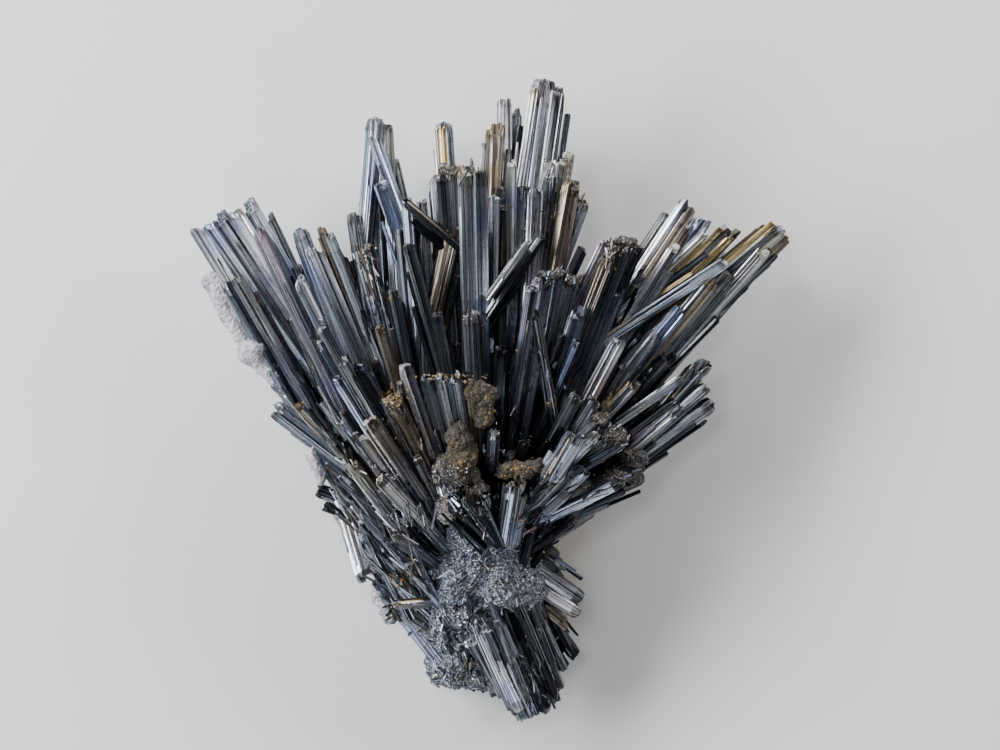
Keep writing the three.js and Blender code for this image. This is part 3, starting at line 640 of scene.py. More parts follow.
def broken_end(blank, cuts, rng):
    """Splits the top of a prism with a few cuts and raises each part as a worn step."""
    for cut in range(cuts):
        angle = rng.uniform(0, math.pi)
        away = rng.uniform(-0.2, 0.2)
        side = Vector((math.cos(angle), math.sin(angle), 0.0))
        edited = bmesh.from_edit_mesh(blank.data)
        choose(edited, top_faces(edited))
        bpy.ops.mesh.bisect(plane_co=side * away + Vector((0, 0, 1)), plane_no=side)
    edited = bmesh.from_edit_mesh(blank.data)
    ends = sorted(tuple(round(c, 4) for c in f.calc_center_median()) for f in top_faces(edited))
    for end in ends:
        edited = bmesh.from_edit_mesh(blank.data)
        near = min(top_faces(edited, 1), key=lambda f: (f.calc_center_median() - Vector(end)).length)
        choose(edited, [near])
        rise = rng.uniform(*STEP_RISE)
        bpy.ops.mesh.extrude_region_move(TRANSFORM_OT_translate={"value": (0, 0, rise)})
        shrink = rng.uniform(*STEP_SHRINK)
        resize((shrink, shrink, 1), (*end[:2], 1 + rise))
        edge = rng.uniform(*STEP_EDGE)
        bpy.ops.mesh.inset(thickness=edge, depth=rng.uniform(*STEP_CROWN), use_even_offset=False)
        lean = Vector((rng.uniform(-1, 1), rng.uniform(-1, 1), 0)).normalized()
        edited = bmesh.from_edit_mesh(blank.data)
        cap = [v for f in edited.faces if f.select for v in f.verts]
        far = max(v.co.dot(lean) for v in cap)
        choose(edited, [v for v in cap if v.co.dot(lean) > far - 0.25])
        bpy.ops.transform.translate(value=(0, 0, rng.uniform(*STEP_LIFT)))


def ridged_blank(name, faces, turn, strips, groove, cuts, seed):
    """A grooved prism with a stepped end above it.

    The end is drawn in breadths, so that it keeps its shape on a crystal of any length.
    """
    rng = random.Random(seed)
    blank = grooved_prism(name, faces, turn, strips, groove, rng)
    broken_end(blank, cuts, rng)
    painted_side_light = [rng.choice(FACET_PAINTED_LIGHT) for side in range(faces)]
    return finished_blank(blank, painted_side_light, turn)


def needle_blank(name, sides, chisel):
    """A plain slender prism with a chisel end."""
    deselect()
    bpy.ops.mesh.primitive_cylinder_add(vertices=sides, radius=0.5, depth=1, location=(0, 0, 0.5))
    blank = bpy.context.object
    blank.name = name
    bpy.ops.object.transform_apply(location=True)
    edited = edit_mesh(blank)
    choose(edited, [v for v in edited.verts if v.co.z > 0.9 and v.co.x > 0.1])
    bpy.ops.transform.translate(value=(0, 0, -chisel))
    return finished_blank(blank, NEEDLE_PAINTED_LIGHT)


def chunk_blank(name, seed):
    """An angular crumb about one unit across."""
    rng = random.Random(seed)
    deselect()
    bpy.ops.mesh.primitive_ico_sphere_add(subdivisions=1, radius=0.5)
    blank = bpy.context.object
    blank.name = name
    for index in range(len(blank.data.vertices)):
        reach = rng.uniform(0.6, 1.3)
        scale_point(blank, index, (reach, reach, reach * 0.8))
    return finished_blank(blank, NEEDLE_PAINTED_LIGHT)


def finished_blank(blank, painted_side_light, turn=0):
    """Faces outwards, flat facets, a map across and along, and each point's way to the tip.

    Each side of the prism has a painted light of its own, a painted reflection that makes it darker or
    lighter.
    """
    bpy.ops.mesh.select_all(action="SELECT")
    bpy.ops.mesh.normals_make_consistent(inside=False)
    bpy.ops.object.mode_set(mode="OBJECT")
    mesh = blank.data
    while mesh.uv_layers:
        mesh.uv_layers.remove(mesh.uv_layers[0])
    grain = mesh.uv_layers.new(name="grain")
    points = np.array([v.co for v in mesh.vertices])
    corner = np.array([loop.vertex_index for loop in mesh.loops])
    across = (np.arctan2(points[:, 1], points[:, 0]) / math.tau)[corner]
    for face in mesh.polygons:
        loops = list(face.loop_indices)
        span = across[loops]
        if span.max() - span.min() > 0.5:
            across[loops] = np.where(span < 0, span + 1, span)
    along = points[corner, 2]
    grain.data.foreach_set("uv", np.stack([across, along], 1).ravel())
    reach = mesh.attributes.new("reach", "FLOAT", "POINT")
    reach.data.foreach_set("value", points[:, 2])
    mesh.attributes.new("tint", "FLOAT_COLOR", "POINT")
    first = 0.25 + turn / 360
    sides = [(math.atan2(f.center.y, f.center.x) / math.tau - first) % 1.0 for f in mesh.polygons]
    # Painted reflection: each face gets a brightness for its side, which the crystal material multiplies into
    # its colour.
    sheen = mesh.attributes.new("sheen", "FLOAT", "FACE")
    sheen.data.foreach_set("value", [painted_side_light[int(side * len(painted_side_light)) % len(painted_side_light)] for side in sides])
    return blank


def stored_blanks():
    stored = bpy.data.collections["blanks"].objects
    kinds = ("body", "ridged", "needle", "chunk")
    return Blanks(*([b for b in stored if b.name.startswith(kind)] for kind in kinds))


# ---- Crystals

# The body of a crystal is this much broader than its row says.
BODY_BREADTH = 1.04

# Its ribs stand on an arc of its outer side, in degrees, this share of its breadth from its
# middle. Its companions lie deeper, are darkened as painted shade of the depths, and lean a few
# degrees at most. Depths and widths are in millimetres, and reaches are shares of its length.
RIB_ARC = (-190, 10)
RIB_STANCE = 0.42
RIB_REACH = (0.35, 0.97)
RIB_WIDTHS = (0.3, 0.9)
COMPANION_DEPTHS = (0.5, 3.4)
COMPANION_REACH = (0.45, 0.96)
COMPANION_WIDTHS = (0.7, 2.4)
COMPANION_PAINTED_SHADE = 0.5
MOST_LEAN = 2.2

# The map of a blade is in millimetres, across and along. The girth is about this many times the
# breadth and thickness together, and each blade has a place of its own on the map.
GIRTH_SHARE = 1.6
MAP_SIZE = 400


def blade(blank, place, breadth, thickness, length, tint, rng, slant=0.0):
    """One copy of a blank, with its own mesh, planted at a place given in millimetres."""
    mesh = blank.data.copy()
    count = len(mesh.vertices)
    points = np.empty(count * 3)
    mesh.vertices.foreach_get("co", points)
    points = points.reshape(-1, 3)
    # The body of a blade stops short of its tip, and its end, given in breadths, stands on it.
    body = length if blank.name.startswith("chunk") else max(length - 0.5 * breadth, 0.6 * length)
    up = np.minimum(points[:, 2], 1) * body + np.maximum(points[:, 2] - 1, 0) * breadth
    rise = math.tan(math.radians(slant))
    points[:, 2] = up + np.where(points[:, 2] > 0.5, rise * breadth * points[:, 0], 0)
    points[:, :2] *= (breadth, thickness)
    mesh.vertices.foreach_set("co", points.ravel())
    mesh.transform(Matrix.Scale(MM, 4) @ place)
    corners = np.empty(len(mesh.loops) * 2)
    mesh.uv_layers["grain"].data.foreach_get("uv", corners)
    corners = corners.reshape(-1, 2) * (GIRTH_SHARE * (breadth + thickness), body)
    corners += (rng.uniform(0, MAP_SIZE), rng.uniform(0, MAP_SIZE))
    mesh.uv_layers["grain"].data.foreach_set("uv", corners.ravel())
    mesh.attributes["tint"].data.foreach_set("color", np.tile((*tint, 1.0), count))
    thing = bpy.data.objects.new("blade", mesh)
    bpy.context.scene.collection.objects.link(thing)
    return thing


def joined(things, name):
    deselect()
    for thing in things:
        thing.select_set(True)
    bpy.context.view_layer.objects.active = things[0]
    if len(things) > 1:
        bpy.ops.object.join()
    piece = bpy.context.object
    piece.name = name
    piece.data.name = name
    return piece


def lit(colour, light):
    """A colour made lighter or darker, but never quite white."""
    return [min(0.9, c * light) for c in colour]


def varied(tone, palette, rng, spread):
    """A colour near the tone, now and then that of a neighbour."""
    colour = TONES[tone if rng.random() > 0.3 else rng.choice(palette)]
    return lit(colour, math.exp(rng.uniform(-spread, spread)))


def kept_within(value, least, most):
    return max(least, min(most, value))


def crystal_frame(crystal):
    """Place of a crystal's foot with Z towards its tip, and its length."""
    whole = math.hypot(HEART.x - crystal.tip_x, HEART.y - crystal.tip_y)
    share = min(1.0, math.hypot(crystal.foot_x - crystal.tip_x, crystal.foot_y - crystal.tip_y) / whole)
    foot_z = crystal.foot_z
    if foot_z is None:
        foot_z = crystal.tip_z + (HEART.z - crystal.tip_z) * share
    tip = on_sheet(crystal.tip_x, crystal.tip_y, crystal.tip_z)
    foot = on_sheet(crystal.foot_x, crystal.foot_y, foot_z)
    along = (tip - foot).normalized()
    across = along.cross(Vector((0, 0, 1))).normalized()
    across.rotate(Matrix.Rotation(math.radians(crystal.roll), 3, along))
    place = Matrix((across, along.cross(across), along)).transposed().to_4x4()
    place.translation = foot
    return place, (tip - foot).length


def tilted(place, shift, lean, turn):
    """A place moved by a shift across and out, and leant and turned a little."""
    lean_x, lean_y = (math.radians(a) for a in lean)
    tilt = Matrix.Rotation(lean_x, 4, "X") @ Matrix.Rotation(lean_y, 4, "Y")
    roll = Matrix.Rotation(math.radians(turn), 4, "Z")
    return place @ Matrix.Translation((*shift, 0.0)) @ tilt @ roll


def bundle(row, palette, blanks, make, rng, inward=1):
    """The blades of one crystal: its body, ribs on its sides and thinner ones further in."""
    crystal = Crystal(*row)
    place, length = crystal_frame(crystal)
    breadth, thickness, tone, slant = crystal.breadth, crystal.thickness, crystal.tone, crystal.slant
    where = tilted(place, (0, 0), (0, 0), rng.uniform(-10, 10))
    tint = varied(tone, (tone,), rng, 0.1)
    shape = rng.choice(blanks.bodies)
    things = [blade(shape, where, breadth * BODY_BREADTH, thickness, length, tint, rng, slant)]

    for index in range(make.ribs + round(breadth * 0.4)):
        around = math.radians(rng.uniform(*RIB_ARC)) * inward
        side = RIB_STANCE * breadth * math.cos(around)
        lift = RIB_STANCE * thickness * math.sin(around)
        share = 1.0 - abs(rng.gauss(0, 0.02)) if rng.random() < 0.5 else rng.uniform(*RIB_REACH)
        where = tilted(place, (side, lift), (rng.gauss(0, 0.15), rng.gauss(0, 0.2)), rng.uniform(-30, 30))
        wide = rng.uniform(*RIB_WIDTHS)
        tint = varied(tone, palette, rng, 0.25)
        shape = rng.choice(blanks.ridged)
        things.append(blade(shape, where, wide, wide * 0.8, length * share, tint, rng, slant * 0.5))

    most = breadth * 0.45 + 0.8
    for index in range(round(make.companions * min(1.0, breadth / 2.6))):
        side = kept_within(rng.gauss(0, 1.0) * (breadth * 0.4 + 0.5), -most, most)
        lift = (rng.uniform(*COMPANION_DEPTHS) + thickness * 0.3) * inward
        share = rng.uniform(*COMPANION_REACH)
        lean = [kept_within(rng.gauss(0, usual), -MOST_LEAN, MOST_LEAN) for usual in (1.4, 1.6)]
        where = tilted(place, (side, lift), lean, rng.uniform(-90, 90))
        wide = rng.uniform(*COMPANION_WIDTHS)
        # Companions lie deeper, so they are darkened as painted shade.
        tint = [COMPANION_PAINTED_SHADE * c for c in varied(tone, palette, rng, 0.4)]
        shape = rng.choice(blanks.ridged if rng.random() < 0.7 else blanks.needles)
        things.append(blade(shape, where, wide, wide * rng.uniform(0.6, 1.0), length * share, tint, rng))
    return things


# ---- Crumbs

# Crumbs are dropped from a height, in millimetres, and lie on nothing that is lower than this,
# in metres, so that none is on the floor. Their widths are shares of their size.
DROP_HEIGHT = 90
LOWEST_CRUMB = 0.004
SCATTER = 0.55
CRUMB_WIDTHS = (0.25, 0.8)
WHOLE_TURN = 6.28


def any_turn(rng):
    angle = rng.uniform(0, WHOLE_TURN)
    return Matrix.Rotation(angle, 4, Vector((rng.random(), rng.random(), rng.random())))


def crumb(spot, turn, wide, tint, blanks, rng):
    place = Matrix.Translation(spot) @ turn
    shape = rng.choice(blanks.chunks)
    return blade(shape, place, wide, wide * rng.uniform(0.5, 1), wide, tint, rng)


def laid(where, along, normal, length, sunk):
    """The place of a blade lying along a surface."""
    along = (along - normal * along.dot(normal)).normalized()
    across = along.cross(normal).normalized()
    place = Matrix((across, along.cross(across), along)).transposed().to_4x4()
    place.translation = where - along * length * 0.5 - normal * sunk
    return place


def crumbs(name, spots, tones, blanks, rng, shards, reach=(1.2, 3.6), middle=HEART, stray=0.3):
    """Angular crumbs, and a share of long shards, strewn on the topmost surface at each spot.

    The shards point away from a middle, straying a little.
    """
    depsgraph = bpy.context.evaluated_depsgraph_get()
    middle = on_sheet(*middle)
    things = []
    for x, y, spread_x, spread_y, count, size in spots:
        for index in range(count):
            spot_x = x + rng.gauss(0, SCATTER) * spread_x
            spot_y = y + rng.gauss(0, SCATTER) * spread_y
            above = on_sheet(spot_x, spot_y, DROP_HEIGHT) * MM
            wide = size * rng.uniform(*CRUMB_WIDTHS)
            turn = any_turn(rng)
            tint = varied(rng.choice(tones), tones, rng, 0.35)
            hit, where, normal, _, below, _ = bpy.context.scene.ray_cast(depsgraph, above, (0, 0, -1))
            if not hit or where.z < LOWEST_CRUMB:
                continue
            spot = where / MM
            if rng.random() < shards and not below.name.startswith("ochre"):
                heading = math.atan2(where.y / MM - middle.y, where.x / MM - middle.x) + rng.gauss(0, stray)
                length = rng.uniform(*reach)
                along = Vector((math.cos(heading), math.sin(heading), rng.uniform(-0.2, 0.2)))
                place = laid(spot, along, normal, length, 0.1 * wide)
                shape = rng.choice(blanks.needles)
                things.append(blade(shape, place, 0.7 * wide, 0.4 * wide, length, tint, rng))
            else:
                things.append(crumb(spot - Vector((0, 0, 0.2 * wide)), turn, wide, tint, blanks, rng))
    return joined(things, name)


# Only the root below a line, in metres, is grained. At its top and left the grains lie anyhow, and
# towards its foot and right they are slivers along the flow. Patches of them are lighter or darker.
GRAINS_BELOW = -0.018
GRAIN_WIDTHS = (0.2, 0.62)
SLIVER_WIDTHS = (0.25, 0.8)
SLIVER_LENGTHS = (1.2, 5.0)
FLOW = Vector((0.42, -1.0, -0.25))
PATCHES_IN_MM = 0.22
PATCH_CONTRAST = 1.3
PATCH_LIFT = 0.1


def swept(spot):
    """The share of the grains at a spot of the root that are slivers along the flow."""
    return kept_within((-spot.y - 38) / 10, 0.0, 1.0) * kept_within((spot.x + 14) / 8, 0.0, 1.0)


def root_grains(mass, count, blanks, rng):
    """Angular grains and slivers over the upper side of the lower root."""
    faces = [f for f in mass.data.polygons if f.normal.z > -0.6 and f.center.y < GRAINS_BELOW]
    things = []
    for index in range(count):
        face = rng.choice(faces)
        spot = face.center / MM
        patch = math.exp(PATCH_CONTRAST * noise.noise(spot * PATCHES_IN_MM) + PATCH_LIFT)
        tint = lit(varied(rng.choice(GRAIN_TONES), GRAIN_TONES, rng, 0.25), patch)
        if rng.random() > swept(spot):
            wide = rng.uniform(*GRAIN_WIDTHS)
            turn = any_turn(rng)
            things.append(crumb(spot - face.normal * wide * 0.2, turn, wide, tint, blanks, rng))
            continue
        flow = FLOW.copy()
        flow.rotate(Matrix.Rotation(rng.gauss(0, 0.3), 3, "Z"))
        length = rng.uniform(*SLIVER_LENGTHS)
        wide = rng.uniform(*SLIVER_WIDTHS)
        place = laid(spot, flow, face.normal, length, wide * 0.3)
        shape = rng.choice(blanks.needles)
        things.append(blade(shape, place, wide, wide * 0.8, length, tint, rng))
    return things


# ---- Lumps

# Sizes of the mesh cells, and size and strength of the swells that roughen each kind of lump, all
# in millimetres.
FINE_CELL = 0.35
CRUST_CELL = 0.2
CLOT_CELL = 0.18
ROOT_SWELLS = ((6.5, 4.0), (2.4, 1.8), (0.9, 0.8))
MATRIX_SWELLS = ((2.4, 2.0), (0.7, 0.9))
KNOB_SWELLS = ((1.6, 1.6), (0.6, 0.8))
CRUST_SWELLS = ((2.4, 1.1), (0.8, 0.5), (0.35, 0.22))
CLOT_SWELLS = ((3.2, 2.6), (1.4, 1.0), (0.4, 0.25))


def strung(lumps):
    """The lumps with two more between each pair of neighbours, so that they run together."""
    filled = []
    for first, second in zip(lumps, lumps[1:]):
        filled += [tuple(a + (b - a) * step / 3 for a, b in zip(first, second)) for step in range(3)]
    return filled + [lumps[-1]]


def lump_piece(name, lumps, cell, swells):
    """Rounded lumps fused into one skin, and roughened by swells."""
    things = []
    for x, y, height, *halves in lumps:
        deselect()
        bpy.ops.mesh.primitive_ico_sphere_add(subdivisions=4, radius=MM, location=on_sheet(x, y, height) * MM)
        ball = bpy.context.object
        edit_all(ball)
        resize(halves, ball.location)
        bpy.ops.object.mode_set(mode="OBJECT")
        bpy.ops.object.transform_apply(location=True)
        things.append(ball)
    piece = joined(things, name)
    fuse = piece.modifiers.new("fuse", "REMESH")
    fuse.mode = "VOXEL"
    fuse.voxel_size = cell * MM
    bpy.ops.object.modifier_apply(modifier=fuse.name)
    for index, (size, strength) in enumerate(swells):
        texture = bpy.data.textures.new(f"{name}_{index}", "CLOUDS")
        texture.noise_scale = size * MM
        swell = piece.modifiers.new("swell", "DISPLACE")
        swell.texture = texture
        swell.strength = strength * MM
        swell.mid_level = 0.5
        bpy.ops.object.modifier_apply(modifier=swell.name)
    while piece.data.uv_layers:
        piece.data.uv_layers.remove(piece.data.uv_layers[0])
    return piece


def rest_flat(piece):
    """Levels whatever reaches below the floor."""
    edited = edit_mesh(piece)
    low = [v for v in edited.verts if v.co.z < 0]
    if low:
        choose(edited, low)
        resize((1, 1, 0))
    bpy.ops.object.mode_set(mode="OBJECT")


def level_base(piece):
    """Cuts a solid off flat at the floor."""
    edit_all(piece)
    bpy.ops.mesh.bisect(
        plane_co=(0, 0, 0), plane_no=(0, 0, 1), use_fill=True, clear_inner=True, threshold=1e-6)
    bpy.ops.object.mode_set(mode="OBJECT")


def ready(piece, finish, *nodes, slot):
    """A finished piece: it has its finish, rides on the root body and stands for its CAD nodes."""
    piece.data.materials.clear()
    piece.data.materials.append(bpy.data.materials[finish])
    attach(piece, "root")
    if nodes:
        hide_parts(*nodes)


# ---- Materials

# The granular finishes. Each has the colours from its pits to its grains, how many grains go to
# a metre, how rough and how metallic it is and how high its grains stand, in metres. The earthy
# ones end with the two shades that drift over them. The colours follow the height of the grains:
# the dark pits are painted shade and the bright tops painted highlight, over the grains' own tone.
GRANULAR = {
    "massive_look": ([
        (0.34, (0.020, 0.022, 0.030)), (0.47, (0.10, 0.11, 0.14)), (0.58, (0.27, 0.30, 0.36)),
        (0.69, (0.70, 0.77, 0.90))], 2000.0, 0.48, 0.6, 0.0006),
    "matrix_look": ([
        (0.34, (0.024, 0.022, 0.020)), (0.46, (0.12, 0.11, 0.105)), (0.57, (0.29, 0.27, 0.255)),
        (0.69, (0.64, 0.62, 0.60))], 2000.0, 0.48, 0.6, 0.0006),
    "knob_look": ([
        (0.34, (0.012, 0.011, 0.010)), (0.48, (0.055, 0.050, 0.045)), (0.60, (0.15, 0.135, 0.12)),
        (0.70, (0.42, 0.41, 0.40))], 2000.0, 0.48, 0.6, 0.0006),
    "ochre_crumb_look": ([
        (0.34, (0.04, 0.028, 0.016)), (0.50, (0.17, 0.115, 0.05)), (0.66, (0.46, 0.31, 0.12))],
        1500.0, 0.6, 0.0, 0.0005, ((0.5, 0.4, 0.35), (1.0, 0.95, 0.9))),
    "crust_look": ([
        (0.34, (0.30, 0.28, 0.30)), (0.50, (0.52, 0.50, 0.54)), (0.68, (0.78, 0.76, 0.80))],
        1300.0, 0.8, 0.0, 0.0005, ((0.66, 0.64, 0.66), (1.0, 0.98, 0.97))),
    "ochre_look": ([
        (0.34, (0.014, 0.013, 0.011)), (0.50, (0.05, 0.044, 0.034)), (0.64, (0.11, 0.09, 0.062)),
        (0.76, (0.20, 0.145, 0.075))],
        1500.0, 0.8, 0.0, 0.0005, ((0.52, 0.54, 0.57), (1.0, 0.80, 0.55))),
}

# The colours of the tarnish on the crystals, from blue over bare metal and violet to gold.
TARNISH = (
    (0.36, (0.50, 0.58, 1.0)), (0.44, (0.88, 0.92, 1.0)), (0.54, 1.0),
    (0.61, (0.93, 0.84, 1.0)), (0.68, (1.0, 0.84, 0.58)),
)


def node(tree, kind, place, **values):
    """A node with its settings; a value that is a socket is linked to the input of that name."""
    made = tree.nodes.new(kind)
    made.location = place
    for key, value in values.items():
        name = key.replace("_", " ")
        if name not in made.inputs:
            setattr(made, key, value)
        elif isinstance(value, bpy.types.NodeSocket):
            tree.links.new(value, made.inputs[name])
        else:
            made.inputs[name].default_value = value
    return made


def ramp(tree, place, factor, stops):
    """Colours along a factor. A stop is a position with a colour, or with a number for a grey."""
    made = node(tree, "ShaderNodeValToRGB", place, Fac=factor)
    colours = made.color_ramp.elements
    while len(colours) < len(stops):
        colours.new(0.5)
    for element, (position, colour) in zip(colours, stops):
        element.position = position
        element.color = (*(colour if isinstance(colour, tuple) else (colour,) * 3), 1.0)
    return made.outputs["Color"]


def shaded(tree, place, share, colour, shade):
    """A colour multiplied by a shade, as far as the share says."""
    made = node(tree, "ShaderNodeMix", place, data_type="RGBA", blend_type="MULTIPLY")
    made.inputs[0].default_value = share
    tree.links.new(colour, made.inputs[6])
    tree.links.new(shade, made.inputs[7])
    return made.outputs[2]


def new_group(name, inputs, outputs):
    """An empty group with its sockets, and the nodes where it starts and ends."""
    tree = bpy.data.node_groups.new(name, "ShaderNodeTree")
    for socket, kind in inputs:
        tree.interface.new_socket(socket, in_out="INPUT", socket_type=kind)
    for socket in outputs:
        tree.interface.new_socket(socket, in_out="OUTPUT", socket_type="NodeSocketFloat")
    return tree, node(tree, "NodeGroupInput", (-800, 0)), node(tree, "NodeGroupOutput", (600, 0))


def striae_group():
    """Fine grooves along a crystal: a height, and a broader streak that varies across it."""
    tree, entry, leave = new_group("striae", [("Vector", "NodeSocketVector")], ("Height", "Streak"))
    squeeze = node(tree, "ShaderNodeVectorMath", (-600, 0), operation="MULTIPLY")
    squeeze.inputs[1].default_value = (1.0, 0.006, 1.0)
    link = tree.links.new
    link(entry.outputs["Vector"], squeeze.inputs[0])
    lines = {"noise_dimensions": "2D", "Vector": squeeze.outputs[0]}
    coarse = node(tree, "ShaderNodeTexNoise", (-300, 100), Scale=1.1, Detail=1.0, Roughness=0.6, **lines)
    fine = node(tree, "ShaderNodeTexNoise", (-300, -200), Scale=3.4, Detail=1.5, Roughness=0.7, **lines)
    sharp = node(tree, "ShaderNodeMapRange", (0, -200), Value=fine.outputs["Fac"], From_Min=0.4, From_Max=0.6)
    link(sharp.outputs[0], leave.inputs["Height"])
    link(coarse.outputs["Fac"], leave.inputs["Streak"])
    return tree


def grains_group():
    """Granular roughness on Object coordinates: a height and a speckle."""
    tree, entry, leave = new_group(
        "grains", [("Vector", "NodeSocketVector"), ("Size", "NodeSocketFloat")], ("Height", "Speckle"))
    spread = {"Vector": entry.outputs["Vector"], "Scale": entry.outputs["Size"]}
    cells = node(tree, "ShaderNodeTexVoronoi", (-300, 200), **spread)
    cloud = node(tree, "ShaderNodeTexNoise", (-300, -200), Detail=2.0, Roughness=0.75, **spread)
    height = node(tree, "ShaderNodeMath", (100, 0), operation="MULTIPLY")
    link = tree.links.new
    link(cells.outputs["Distance"], height.inputs[0])
    link(cloud.outputs["Fac"], height.inputs[1])
    link(height.outputs[0], leave.inputs["Height"])
    link(cloud.outputs["Fac"], leave.inputs["Speckle"])
    return tree


def new_material(name):
    """A material's nodes, its shader and the Object coordinates."""
    material = bpy.data.materials.new(name)
    material.use_nodes = True
    tree = material.node_tree
    place = node(tree, "ShaderNodeTexCoord", (-1100, -300))
    return tree, tree.nodes["Principled BSDF"], place.outputs["Object"]


def raised(tree, shader, height, strength, distance):
    """Lets a height stand out on the surface."""
    bump = node(
        tree, "ShaderNodeBump", (-200, -350), Strength=strength, Distance=distance, Height=height)
    tree.links.new(bump.outputs[0], shader.inputs["Normal"])


def crystal_material(groups):
    """Bright metal with grooves, streaks, pits, tarnish and stained ends, with painted reflection on its
    facets and painted shade in its grooves.
    """
    tree, shader, place = new_material("crystal_look")
    shader.inputs["Metallic"].default_value = 1.0
    grain = node(tree, "ShaderNodeUVMap", (-1100, 200), uv_map="grain")
    tint, sheen, reach = (
        node(tree, "ShaderNodeAttribute", (-1100, height), attribute_name=name)
        for name, height in (("tint", 500), ("sheen", 750), ("reach", -600)))
    striae = node(
        tree, "ShaderNodeGroup", (-800, 200), node_tree=groups["striae"], Vector=grain.outputs[0])
    flakes = node(
        tree, "ShaderNodeGroup", (-800, -350), node_tree=groups["grains"], Size=1100.0, Vector=place)
    film = node(tree, "ShaderNodeTexNoise", (-800, -50), Scale=70.0, Detail=2.0, Vector=place)
    height = striae.outputs["Height"]
    streak = striae.outputs["Streak"]
    # The grooves are painted darker as well as bumped: painted shade in the grooves.
    lines = ramp(tree, (-500, 600), height, ((0.0, 0.20), (0.36, 1.0)))
    streaks = ramp(tree, (-500, 350), streak, ((0.34, 0.38), (0.46, 0.95), (0.66, 1.15)))
    pits = ramp(tree, (-500, 100), flakes.outputs["Speckle"], ((0.36, 0.25), (0.46, 1.0)))
    tarnish = ramp(tree, (-500, -150), film.outputs["Fac"], TARNISH)
    stain = ramp(tree, (-500, -600), reach.outputs["Fac"], ((0.985, 1.0), (1.0, (0.50, 0.47, 0.42))))
    colour = tint.outputs["Color"]
    # The facets' painted light is a painted reflection: it darkens some facets as if they reflected less of
    # the lamps.
    sides = sheen.outputs["Color"]
    shades = ((1.0, sides), (1.0, lines), (1.0, streaks), (0.35, pits), (0.45, tarnish), (0.8, stain))
    for index, (share, shade) in enumerate(shades):
        colour = shaded(tree, (-300 + 170 * index, 400), share, colour, shade)
    tree.links.new(colour, shader.inputs["Base Color"])
    rough = node(
        tree, "ShaderNodeMapRange", (200, -100), Value=streak,
        From_Min=0.3, From_Max=0.7, To_Min=0.36, To_Max=0.285)
    tree.links.new(rough.outputs[0], shader.inputs["Roughness"])
    raised(tree, shader, height, 0.35, 0.0001)


def granular_material(groups, name, colours, grains, roughness, metallic, height, drifts=None):
    """A rough surface of grains, on some of which two shades drift."""
    tree, shader, place = new_material(name)
    shader.inputs["Roughness"].default_value = roughness
    shader.inputs["Metallic"].default_value = metallic
    coat = node(
        tree, "ShaderNodeGroup", (-800, 100), node_tree=groups["grains"], Size=grains, Vector=place)
    # The colour follows the grains: painted shade in the pits and painted highlight on the tops.
    colour = ramp(tree, (-500, 200), coat.outputs["Speckle"], colours)
    if drifts:
        drift = node(tree, "ShaderNodeTexNoise", (-800, 450), Scale=260.0, Detail=1.0, Vector=place)
        stops = ((0.38, drifts[0]), (0.5, 0.9), (0.62, drifts[1]))
        shades = ramp(tree, (-500, 500), drift.outputs["Fac"], stops)
        colour = shaded(tree, (-200, 300), 1.0, colour, shades)
    tree.links.new(colour, shader.inputs["Base Color"])
    raised(tree, shader, coat.outputs["Height"], 1.0, height)


# ---- Settings

class CrystalSettings(PropertyGroup):
    ribs: IntProperty(
        name="Ribs", description="Smaller blades on the body of each crystal", default=4, min=0)
    companions: IntProperty(
        name="Companions", description="Thinner crystals beneath each crystal", default=7, min=0)


class RootSettings(PropertyGroup):
    grain: FloatProperty(
        name="Grain", description="Size of the mesh cells of the massive root, in millimetres", default=0.55)
    slivers: IntProperty(
        name="Slivers", description="Short crystals and grains on the massive root", default=3600)


class StageSettings(PropertyGroup):
    lens: FloatProperty(
        name="Lens", description="Focal length of the camera", default=280.0, unit="CAMERA")
    view_width: FloatProperty(
        name="View width", description="Width seen at the middle of the specimen", default=0.2, unit="LENGTH")
    floor: FloatVectorProperty(
        name="Floor", description="Colour of the floor", default=(0.72, 0.72, 0.71), subtype="COLOR")
    key: FloatProperty(
        name="Key light", description="Power of the key light", default=13.4, unit="POWER")


# ---- Operators

class SPECIMEN_OT_finishes(Operator):
    """Build the shared shader groups and the materials"""
    bl_idname = "specimen.finishes"
    bl_label = "Finishes"

    def execute(self, context):
        groups = {"striae": striae_group(), "grains": grains_group()}
        crystal_material(groups)
        for name, values in GRANULAR.items():
            granular_material(groups, name, *values)
        return {"FINISHED"}


class SPECIMEN_OT_blanks(Operator):
    """Model the blades that every crystal is copied from"""
    bl_idname = "specimen.blanks"
    bl_label = "Blade blanks"

    def execute(self, context):
        store = bpy.data.collections.new("blanks")
        context.scene.collection.children.link(store)
        made = [ridged_blank(name, *values) for name, values in GROOVED_BLANKS.items()]
        made += [needle_blank(name, *values) for name, values in NEEDLE_BLANKS.items()]
        made += [chunk_blank(name, seed) for name, seed in CHUNK_SEEDS.items()]
        for blank in made:
            for holder in blank.users_collection:
                holder.objects.unlink(blank)
            store.objects.link(blank)
        context.scene.collection.children.unlink(store)
        return {"FINISHED"}


class SPECIMEN_OT_sprays(Operator):
    """Grow the groups of crystals that fan out from the root"""
    bl_idname = "specimen.sprays"
    bl_label = "Crystal sprays"

    def execute(self, context):
        make = context.scene.specimen_crystals
        blanks = stored_blanks()
        for name, (rows, palette, seed) in SPRAYS.items():
            rng = random.Random(seed)
            inward = -1 if rows is BACK else 1
            things = []
            for row in rows:
                things += bundle(row, palette, blanks, make, rng, inward)
            piece = joined(things, name)
            rest_flat(piece)
            ready(piece, "crystal_look", "stibnite_cluster", slot="stibnite")
        return {"FINISHED"}


